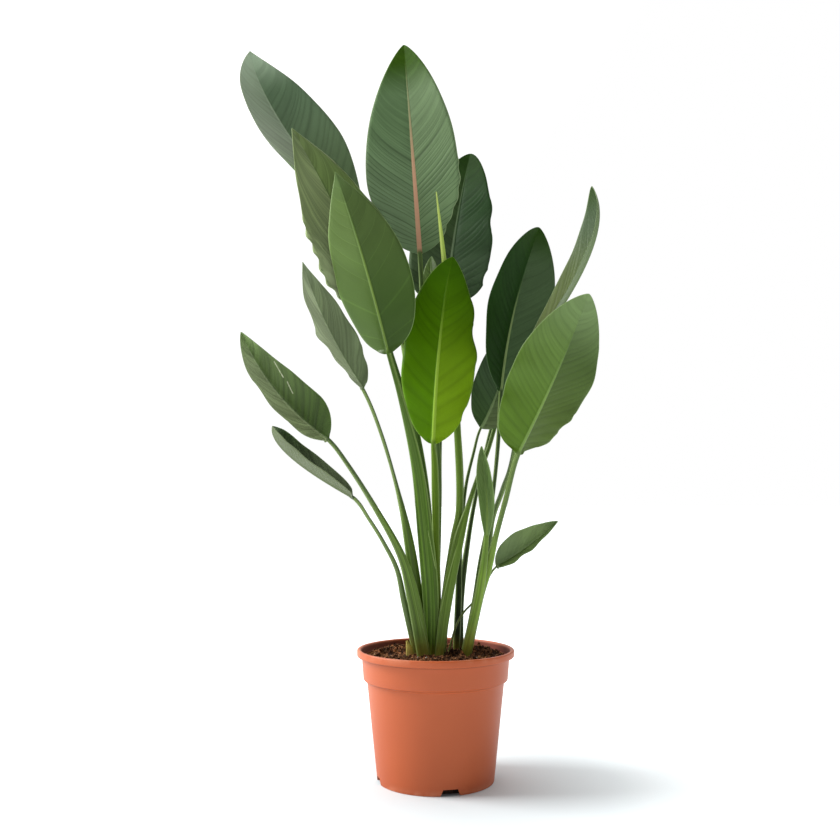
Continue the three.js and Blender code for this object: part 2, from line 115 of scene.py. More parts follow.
def circle(count):
    """Even angles all round, in radians."""
    return 2 * np.pi * np.arange(count) / count


def new_piece(name, points, faces, smooth=True):
    """A mesh object from an array of points in millimetres and an array of faces, quads or triangles."""
    mesh = bpy.data.meshes.new(name)
    mesh.vertices.add(len(points))
    mesh.vertices.foreach_set("co", (points * MM).astype(np.float32).ravel())
    sides = faces.shape[1]
    mesh.loops.add(faces.size)
    mesh.loops.foreach_set("vertex_index", faces.astype(np.int32).ravel())
    mesh.polygons.add(len(faces))
    mesh.polygons.foreach_set("loop_start", np.arange(0, faces.size, sides, dtype=np.int32))
    mesh.polygons.foreach_set("use_smooth", np.full(len(faces), smooth))
    mesh.update(calc_edges=True)
    mesh.validate()
    piece = bpy.data.objects.new(name, mesh)
    bpy.context.scene.collection.objects.link(piece)
    return piece


def skin_faces(rows, size):
    """Quads over rows of closed sections with an even number of points, and caps of quads at both ends."""
    row = np.arange(rows - 1)[:, None] * size
    here = np.arange(size)[None, :]
    there = (here + 1) % size
    walls = np.stack([row + here, row + there, row + size + there, row + size + here], -1).reshape(-1, 4)
    k = np.arange(size // 2 - 1)
    first = np.stack([k, size - 1 - k, size - 2 - k, k + 1], -1)
    last = first[:, ::-1] + (rows - 1) * size
    return np.concatenate([walls, first, last])


def wave_field(x, y, lengths, seed):
    """Random bumps: a sum of sine waves in random directions, each as high as its length, scaled to 1."""
    draw = np.random.default_rng(seed)
    total = np.zeros_like(x)
    for length in lengths:
        turn, start = draw.uniform(0, 2 * np.pi, 2)
        total += length * np.sin(2 * np.pi * (x * np.cos(turn) + y * np.sin(turn)) / length + start)
    return total / np.sqrt(np.sum(np.square(lengths)) / 2)


# %% [markdown]
# ## Shader helpers
# A finish is a small network of nodes. These helpers add one node at a time, with its inputs given as
# numbers or as the outputs of earlier nodes, so that each finish reads from top to bottom.


# %% Helpers for finishes
def colour(red, green, blue):
    """A colour given as 0 to 255 on a screen, as the linear values that a shader takes."""
    screen = np.array([red, green, blue]) / 255
    linear = np.where(screen < 0.04045, screen / 12.92, ((screen + 0.055) / 1.055) ** 2.4)
    return (*linear.tolist(), 1.0)


def add(tree, kind, inputs=None, **settings):
    """One node with its settings and inputs. An input is a number, a colour or another node's output."""
    node = tree.nodes.new(kind)
    for name, value in settings.items():
        setattr(node, name, value)
    for name, value in (inputs or {}).items():
        if isinstance(value, bpy.types.NodeSocket):
            tree.links.new(value, node.inputs[name])
        else:
            node.inputs[name].default_value = value
    return node


def math_node(tree, operation, a, b=0.0):
    """a and b joined by one operation of arithmetic."""
    return add(tree, "ShaderNodeMath", {0: a, 1: b}, operation=operation).outputs[0]


def ramp(tree, value, low, high, start=0.0, stop=1.0):
    """start where value is low, stop where it is high, and a smooth step between them."""
    inputs = {"Value": value, "From Min": low, "From Max": high, "To Min": start, "To Max": stop}
    return add(tree, "ShaderNodeMapRange", inputs, interpolation_type="SMOOTHSTEP").outputs[0]


def blend(tree, share, a, b):
    """Colour a where share is 0 and colour b where it is 1."""
    node = add(tree, "ShaderNodeMix", {0: share, 6: a, 7: b}, data_type="RGBA")
    return node.outputs[2]


def times(tree, *values):
    """The values multiplied together."""
    result = values[0]
    for value in values[1:]:
        result = math_node(tree, "MULTIPLY", result, value)
    return result


def plus(tree, a, b):
    """The sum of a and b."""
    return math_node(tree, "ADD", a, b)


def minus(tree, a, b):
    """a less b."""
    return math_node(tree, "SUBTRACT", a, b)


def object_place(tree):
    """Where a point lies in its object, in metres, and its three coordinates by name."""
    where = add(tree, "ShaderNodeTexCoord").outputs["Object"]
    return where, add(tree, "ShaderNodeSeparateXYZ", {0: where}).outputs


def noise(tree, where, scale, detail):
    """Soft clouds from 0 to 1. A larger scale makes them finer, and three scales stretch them too."""
    if isinstance(scale, tuple):
        where, scale = add(tree, "ShaderNodeMapping", {"Vector": where, "Scale": scale}).outputs[0], 1.0
    inputs = {"Vector": where, "Scale": scale, "Detail": detail}
    return add(tree, "ShaderNodeTexNoise", inputs).outputs["Fac"]


def new_group(name, output, **inputs):
    """An empty shader node group with one output, and its inputs by name with their defaults."""
    group = bpy.data.node_groups.new(name, "ShaderNodeTree")
    for title, default in inputs.items():
        socket = group.interface.new_socket(title, in_out="INPUT", socket_type="NodeSocketFloat")
        socket.default_value = default
    group.interface.new_socket(output, in_out="OUTPUT", socket_type="NodeSocketFloat")
    given = group.nodes.new("NodeGroupInput").outputs
    result = group.nodes.new("NodeGroupOutput").inputs[output]
    return group, given, result


def use_group(tree, group, **inputs):
    """The outputs of the group, placed in a material with its inputs given by name."""
    return add(tree, "ShaderNodeGroup", inputs, node_tree=group).outputs


def new_finish(name, roughness, gloss=0.5):
    """A material with one Principled shader, and the tree that it stands in."""
    material = bpy.data.materials.new(name)
    material.use_nodes = True
    tree = material.node_tree
    shader = tree.nodes["Principled BSDF"]
    shader.inputs["Roughness"].default_value = roughness
    shader.inputs["Specular IOR Level"].default_value = gloss
    return material, tree, shader


def set_bump(tree, shader, height, strength, distance):
    """Fine relief: its height from 0 to 1, how much of it shows, and how deep it is in metres."""
    bump = add(tree, "ShaderNodeBump", {"Height": height, "Strength": strength, "Distance": distance})
    tree.links.new(bump.outputs[0], shader.inputs["Normal"])


# %% [markdown]
# ## The form of a leaf
# Nearly every leaf here has the same build, so one function makes them all from a short list of sizes.
# A stalk is a smooth curve through a few points, each with its half width. The blade's midrib is a
# parabola from the neck to the tip, and the blade spreads from it to both sides, folded, curled,
# twisted and waved. The rows of the blade's grid don't run square across it: each one follows a side
# vein, which leaves the midrib and sweeps forward to the margin. So a ridge along a vein needs no
# finer grid than its own width.

# %% Sizes that all leaves share
SHEATH_DEPTH = 4.2  # half depth of a sheath, where the stalk is broad and flat
TIP_RADIUS = 0.7
HALF_LAMINA = 0.45  # half thickness of a blade
HALF_MARGIN = 0.12  # and of its thin edge
RIB_FOOT = 4.5  # half width of the strip of fine columns along the midrib
KEEL_WIDTH = 2.6  # and of the raised keel under it
STALK_THICKNESS = 0.92  # depth of a slim stalk, as a share of its width
BLADE_START = 0.03  # share of a blade's length over which the stalk turns into it
BASE_LENGTH = 0.025  # and over which its base is rounded off
FLAP_STEP = 0.55  # height of the step where one margin of a sheath lies on the other
NO_FLAP = 99.0  # a distance too long for such a margin to show
UNEVENNESS = 0.35  # how far a side vein strays from its even place, in spacings
STALK_STEP = 3.5  # distance between sections on a stalk
BLADE_STEP = 1.25  # and on a blade
FAN_FACE = np.array([0, -1, 0])  # the way that the broad side of the sheaths looks


# %% Lines that a leaf is built on
def midrib(leaf, u):
    """The midrib: neck times (1-u)(1-2u), plus the middle times 4u(1-u), plus the tip times u(2u-1). Its
    heading is the slope of that parabola, as unit vectors."""
    u = u[..., None]
    neck, middle, tip = (np.array(leaf[k], float) for k in ("neck", "mid", "tip"))
    place = neck * (1 - u) * (1 - 2 * u) + middle * 4 * u * (1 - u) + tip * u * (2 * u - 1)
    return place, unit(neck * (4 * u - 3) + middle * 4 * (1 - 2 * u) + tip * (4 * u - 1))


def stalk_line(leaf, t):
    """Places and half widths at t from 0 to 1: a Catmull-Rom curve, which passes through every point of
    the stalk, with one more point before the root and one past the neck in the blade's direction."""
    points = np.array(leaf["stalk"], float)
    step = np.linalg.norm(points[-1, :3] - points[-2, :3])
    ahead = np.append(midrib(leaf, np.array(0.0))[1] * step, 0)
    points = np.vstack([2 * points[0] - points[1], points, points[-1] + ahead])
    at = t * (len(points) - 3)
    k = np.minimum(at.astype(int), len(points) - 4)
    f = (at - k)[:, None]
    a, b, c, d = (points[k + i] for i in range(4))
    return b + 0.5 * ((c - a) * f + (2 * a - 5 * b + 4 * c - d) * f**2 + (3 * b - a - 3 * c + d) * f**3)


def blade_half_width(leaf, u):
    """end + (half - end)(1 - s²)^e, where s runs from 0 at the widest place to 1 at the neck or tip. The
    last factor rounds the base off, where the blade runs into the stalk. A rolled leaf only tapers."""
    if leaf["rolled"]:
        return mix(leaf["rolled"], TIP_RADIUS, u**1.6)
    below = u < leaf["widest"]
    s = np.abs(u - leaf["widest"]) / np.where(below, leaf["widest"], 1 - leaf["widest"])
    end = np.where(below, leaf["stalk"][-1][3], TIP_RADIUS)
    power = np.where(below, leaf["swell"], leaf["taper"])
    rounding = 1 - leaf["round_base"] * np.exp(-u / BASE_LENGTH)
    return end + (leaf["half"] - end) * np.maximum(0, 1 - s * s) ** power * rounding


# %% Columns across a leaf
RIB_COLUMNS = 5  # on each half, over the midrib
HALF_COLUMNS = 10  # and from there to the margin
STALK_SPAN = np.radians(88)  # turn from the middle of a stalk to its outermost column
WIDEST_RIB = 0.4  # the share of a narrow blade that the columns of the rib may take


def columns_across(half_width, flat):
    """Places across a leaf from -1 to 1. On a stalk they are sines of even angles. On a blade the first
    few of each half lie within the midrib's foot, and the rest are spread to the margin."""
    count = RIB_COLUMNS + HALF_COLUMNS
    round_places = np.sin(STALK_SPAN * np.arange(count + 1) / count)
    foot = np.minimum(WIDEST_RIB, RIB_FOOT / half_width)[:, None]
    near = foot * np.arange(RIB_COLUMNS + 1) / RIB_COLUMNS
    far = foot + (1 - foot) * (np.arange(1, HALF_COLUMNS + 1) / HALF_COLUMNS) ** 0.9
    half = mix(round_places[None, :], np.hstack([near, far]), flat[:, None])
    return np.hstack([-half[:, :0:-1], half])


# %% [markdown]
# ## Relief of a blade
# Seen close, a blade is corrugated: the tissue sinks along each side vein and swells between them.
# The corrugation is strong on some leaves and faint on others, and it fades towards the margin and
# the tip. Along the middle runs the rib, a soft cord in a shallow channel on the upper face and a
# stout keel under it. Margins ripple where the leaf grew faster than its rib.


# %% Relief and ripples
def vein_phase(leaf, along_share):
    """A count that grows by one from each side vein to the next. Three waves, seven, five and three
    veins long, make the spacing slightly uneven."""
    draw = np.random.default_rng(leaf["seed"])
    start = draw.uniform(0, 2 * np.pi, 3)
    even = along_share * leaf["length"] / leaf["vein_gap"]
    strays = (UNEVENNESS / (i + 1) * np.sin(2 * np.pi * even / (7 - 2 * i) + start[i]) for i in range(3))
    return even + sum(strays)


def corrugation(leaf, phase, u, v):
    """Height of the corrugation: lowest along each side vein and highest between two, as the size of
    sin(pi times the vein count) to the power 0.8. It fades at neck, rib, margin and tip."""
    off_rib, off_margin = smoothstep(np.abs(v), 0.03, 0.16), 1 - smoothstep(np.abs(v), 0.72, 1)
    fade = off_rib * off_margin * smoothstep(u, 0.02, 0.12)
    tip_fade = 1 - smoothstep(u, leaf["relief_end"] - 0.3, leaf["relief_end"] + 0.1)
    valley = np.abs(np.sin(np.pi * phase)) ** 0.8
    return leaf["relief"] * (valley - 0.5) * fade * tip_fade


def margin_wave(leaf, u, v):
    """Long waves along the margins, as high as `wave` says there and falling off as v² to the rib."""
    height, number, start = leaf["wave"]
    lag = np.where(v < 0, 2, 0)  # so that the two margins don't wave together
    swing = np.sin(2 * np.pi * number * u + start + lag)
    return height * v * v * swing * np.sin(np.pi * np.minimum(1, 1.15 * u))


def ripple(leaf, u, v):
    """Short ripples on a stretch of one margin: their height across the blade's face, and how far they
    draw the margin in. Each stretch is given as side, first u, last u, number of ripples, height and
    draw, and swings as a sine. Half a ripple is one hollow, or one bulge if its draw is below zero."""
    lift = np.zeros(np.broadcast(u, v).shape)
    drawn = np.zeros_like(lift)
    for side, first, last, number, height, draw in leaf["ripples"]:
        share = (u - first) / (last - first)
        window = smoothstep(share, 0, 0.12) * (1 - smoothstep(share, 0.88, 1)) * (v * side > 0)
        swing = np.sin(2 * np.pi * number * share) * window
        lift += height * swing * np.abs(v) ** 4
        drawn += draw * swing
    return lift, drawn


# %% [markdown]
# ## One closed leaf
# The points of the upper face and of the under face are worked out together. On the stalk they form a
# flat ellipse, and on the blade two sheets less than a millimetre apart. Each point also keeps a few
# measures of its own, such as its distance to the margin in millimetres. The finish reads them as
# attributes, so a vein or a pale margin follows the leaf however it is bent.


# %% Rows of a leaf
def leaf_rows(leaf):
    """Rows from root to tip: t on the stalk and q on the blade, where they lie closer together at the
    neck and the tip. The stalk's length in millimetres comes with them."""
    stalk_points = np.array(leaf["stalk"])[:, :3]
    stalk_length = np.linalg.norm(np.diff(stalk_points, axis=0), axis=1).sum()
    t = np.linspace(0, 1, int(stalk_length / STALK_STEP))
    even = np.linspace(0, 1, int(leaf["length"] / BLADE_STEP) + 1)[1:]
    q = 0.3 * even + 0.35 * (1 - np.cos(np.pi * even))
    return t, q, stalk_length


def vein_sweep(leaf, q, v):
    """How far a side vein that leaves the rib at q has swept forward at v: it starts square across the
    blade at the neck, leans more and more forward, and always reaches the margin before the tip."""
    reach = 0.8 * np.abs(v) + 0.2 * np.abs(v) ** 3
    return leaf["sweep"] * (1 - q) * (1 - np.exp(-leaf["rush"] * q)) * reach


# %% Margins of a sheath
def sheath_flaps(leaf, z, v, on_stalk):
    """Distance in millimetres to the nearest margin line of the sheath, and the small step up beside it.
    A line is given by its height and place across at both ends, and by the side that lies on top."""
    nearest, step = np.full(v.shape, NO_FLAP), np.zeros(v.shape)
    for z_low, v_low, z_high, v_high, top_side in leaf["flaps"]:
        share = np.clip((z - z_low) / (z_high - z_low), 0, 1)
        distance = (v - mix(v_low, v_high, share)) * leaf["sheath"]
        off = 3 * (1 - smoothstep(z, z_low - 4, z_low + 20) * (1 - smoothstep(z, z_high - 50, z_high)))
        nearest = np.minimum(nearest, np.abs(distance) + off)
        fade = smoothstep(z, z_low - 4, z_low + 4) * (1 - smoothstep(z, z_high - 12, z_high))
        step += FLAP_STEP * smoothstep(distance * top_side, -0.5, 0.5) * fade
    sheath = np.arange(len(v))[:, None] < on_stalk
    return np.where(sheath, nearest, NO_FLAP), np.where(sheath, step, 0)


# %% Lie, bend and thickness
def leaf_lie(leaf, t, q, u, line):
    """The middle of the leaf at each point, and the directions out of its upper face and to its side.
    The face looks the fan's way at the root and the blade's own way from the neck on, where it turns
    about the midrib by the twist times (1/2 - u)."""
    on_stalk = len(t)
    centre, along = midrib(leaf, u)
    stalk_along = unit(np.gradient(line[:, :3], axis=0))
    turn_in = smoothstep(t, 0.9, 1)[:, None]
    along[:on_stalk] = unit(mix(stalk_along, along[0, 0], turn_in))[:, None]
    centre[:on_stalk] = line[:, None, :3]
    towards = np.concatenate([smoothstep(t, 0.3, 1), np.ones(len(q))])[:, None]
    looks = mix(FAN_FACE, np.array(leaf["face"]), towards)[:, None]
    face = unit(looks - along * np.sum(looks * along, -1, keepdims=True))
    twist = -np.radians(leaf["twist"]) * (u - 0.5)[..., None]
    face = face * np.cos(twist) + np.cross(along, face) * np.sin(twist)
    return centre, face, np.cross(along, face)


def bent_sheet(leaf, v, reach, blade, centre, face, side):
    """Points of the leaf's middle sheet, and its normals. Each half leaves the midrib at the fold's angle
    and bends on as an arc, `reach` long: its chord is reach times sin(curl)/curl and stands at fold plus
    curl, and its end stands at fold plus twice the curl."""
    sign = np.sign(v)
    fold = np.radians(np.where(v < 0, *leaf["fold"])) * blade
    curl = np.radians(np.where(v < 0, *leaf["curl"])) * blade * reach / leaf["half"] / 2
    chord = reach * np.sinc(curl / np.pi)
    angle, tilt = (fold + curl)[..., None], (fold + 2 * curl)[..., None]
    out = (sign * chord)[..., None]
    point = centre + out * np.cos(angle) * side + chord[..., None] * np.sin(angle) * face
    return point, face * np.cos(tilt) - sign[..., None] * side * np.sin(tilt)


def thickness(leaf, u, v, width, reach, blade, on_leaf):
    """How far the upper and the under face stand off the middle sheet. On a stalk both make an ellipse.
    On a blade they are half the lamina apart from it, with the rib as a bell curve in a shallow channel
    on the upper face, and the keel as a deeper bell curve on the under face."""
    rolled = leaf["rolled"]
    neck_half = np.where(on_leaf & (not rolled), leaf["stalk"][-1][3], width)
    deepest = mix(SHEATH_DEPTH, width, smoothstep(u, 0, 0.06)) if rolled else SHEATH_DEPTH
    depth = STALK_THICKNESS * np.minimum(neck_half, deepest)
    stalk_half = depth * np.sqrt(np.maximum(0, 1 - np.where(on_leaf, reach / neck_half, v) ** 2))
    thin = mix(HALF_LAMINA, HALF_MARGIN, smoothstep(np.abs(v), 0.9, 1)) * (not rolled)
    cord = leaf["cord"] * (1 - u) ** 0.8 + 0.25
    ridge = 0.55 * cord * np.exp(-((reach / cord) ** 2)) - 0.35 * np.exp(-((reach / cord - 2) ** 2))
    keel = mix(depth, HALF_LAMINA, np.minimum(1, u) ** 0.7) - HALF_LAMINA
    keel = keel * np.exp(-((reach / KEEL_WIDTH) ** 2))
    plain = np.maximum(stalk_half, thin * on_leaf)
    upper = mix(plain, thin + ridge * (1 - smoothstep(u, 0.8, 1)), blade)
    return upper, mix(plain, thin + keel, blade)


# %% The two faces of a leaf
def leaf_surface(leaf):
    """Upper and under points of a leaf, row by row, and the measures that its finish reads."""
    t, q, stalk_length = leaf_rows(leaf)
    on_stalk, rolled = len(t), leaf["rolled"]
    line = stalk_line(leaf, t)
    row_q = np.concatenate([np.zeros(on_stalk), q])
    on_leaf = row_q[:, None] > 0
    flat = smoothstep(row_q, 0, BLADE_START) * (not rolled)
    v = columns_across(np.concatenate([line[:, 3], blade_half_width(leaf, q)]), flat)

    u = row_q[:, None] + vein_sweep(leaf, row_q[:, None], v) * flat[:, None]
    blade = smoothstep(u, 0, BLADE_START) * (not rolled)
    width = np.where(on_leaf, blade_half_width(leaf, u), np.concatenate([line[:, 3], q])[:, None])
    lift, drawn = ripple(leaf, u, v)
    reach = np.abs(v) * (width - drawn * blade)
    point, normal = bent_sheet(leaf, v, reach, blade, *leaf_lie(leaf, t, q, u, line))
    phase = vein_phase(leaf, row_q)[:, None] + np.zeros_like(v)
    relief = margin_wave(leaf, u, v) + lift + corrugation(leaf, phase, u, v)
    point = point + (blade * relief)[..., None] * normal

    upper, under = thickness(leaf, u, v, width, reach, blade, on_leaf)
    flap, step = sheath_flaps(leaf, point[..., 2], v, on_stalk)
    upper = upper + step
    lamina = np.maximum(blade, smoothstep(reach / leaf["stalk"][-1][3], 0.9, 1.2) * on_leaf)
    to_neck = np.concatenate([(t - 1) * stalk_length, q * 0])[:, None]
    measures = {
        "along": row_q[:, None] * leaf["length"] + to_neck + 0 * v,
        "across": np.sign(v) * reach,
        "share": u + 0 * v,
        "edge": (1 - np.abs(v)) * width,
        "phase": phase,
        "blade": smoothstep(u, 0, 0.15) if rolled else lamina,
        "flap": flap,
    }
    return point + upper[..., None] * normal, point - under[..., None] * normal, measures


# %% The leaf as a mesh
def build_leaf(name, leaf):
    """A leaf as one closed mesh, with its measures as attributes on the points. One measure more, under,
    is 0 on the upper face and 1 on the under face."""
    upper, under, measures = leaf_surface(leaf)
    rings = np.concatenate([upper, under[:, ::-1]], axis=1)
    rows, size = rings.shape[:2]
    piece = new_piece(name, rings.reshape(-1, 3), skin_faces(rows, size))
    around = {title: np.hstack([values, values[:, ::-1]]) for title, values in measures.items()}
    around["under"] = np.repeat([[0, 1]], size // 2, axis=1) + np.zeros((rows, 1))
    for title, values in around.items():
        kept = piece.data.attributes.new(title, "FLOAT", "POINT")
        kept.data.foreach_set("value", values.astype(np.float32).ravel())
    return piece


# %% [markdown]
# ## The leaves
# The list holds the sizes that the frame's leaves were built from, in millimetres: the points of the
# stalk with the half width there, the middle and the tip of the midrib, the way that the upper side
# looks, the half width and the place where it is widest, how the outline swells and tapers, and the
# folds, curls, twist and waves. A few are changed a little: three stalks stand up to 2.5 mm aside near
# the root, where the frame cuts its sheaths clear of each other, one midrib runs up to 3 mm aside, and
# three outlines swell otherwise. To these sizes the list adds what only shows close up: ripples on a
# margin, how strongly the blade is corrugated, how far apart its side veins stand, and the margins of
# the sheath.

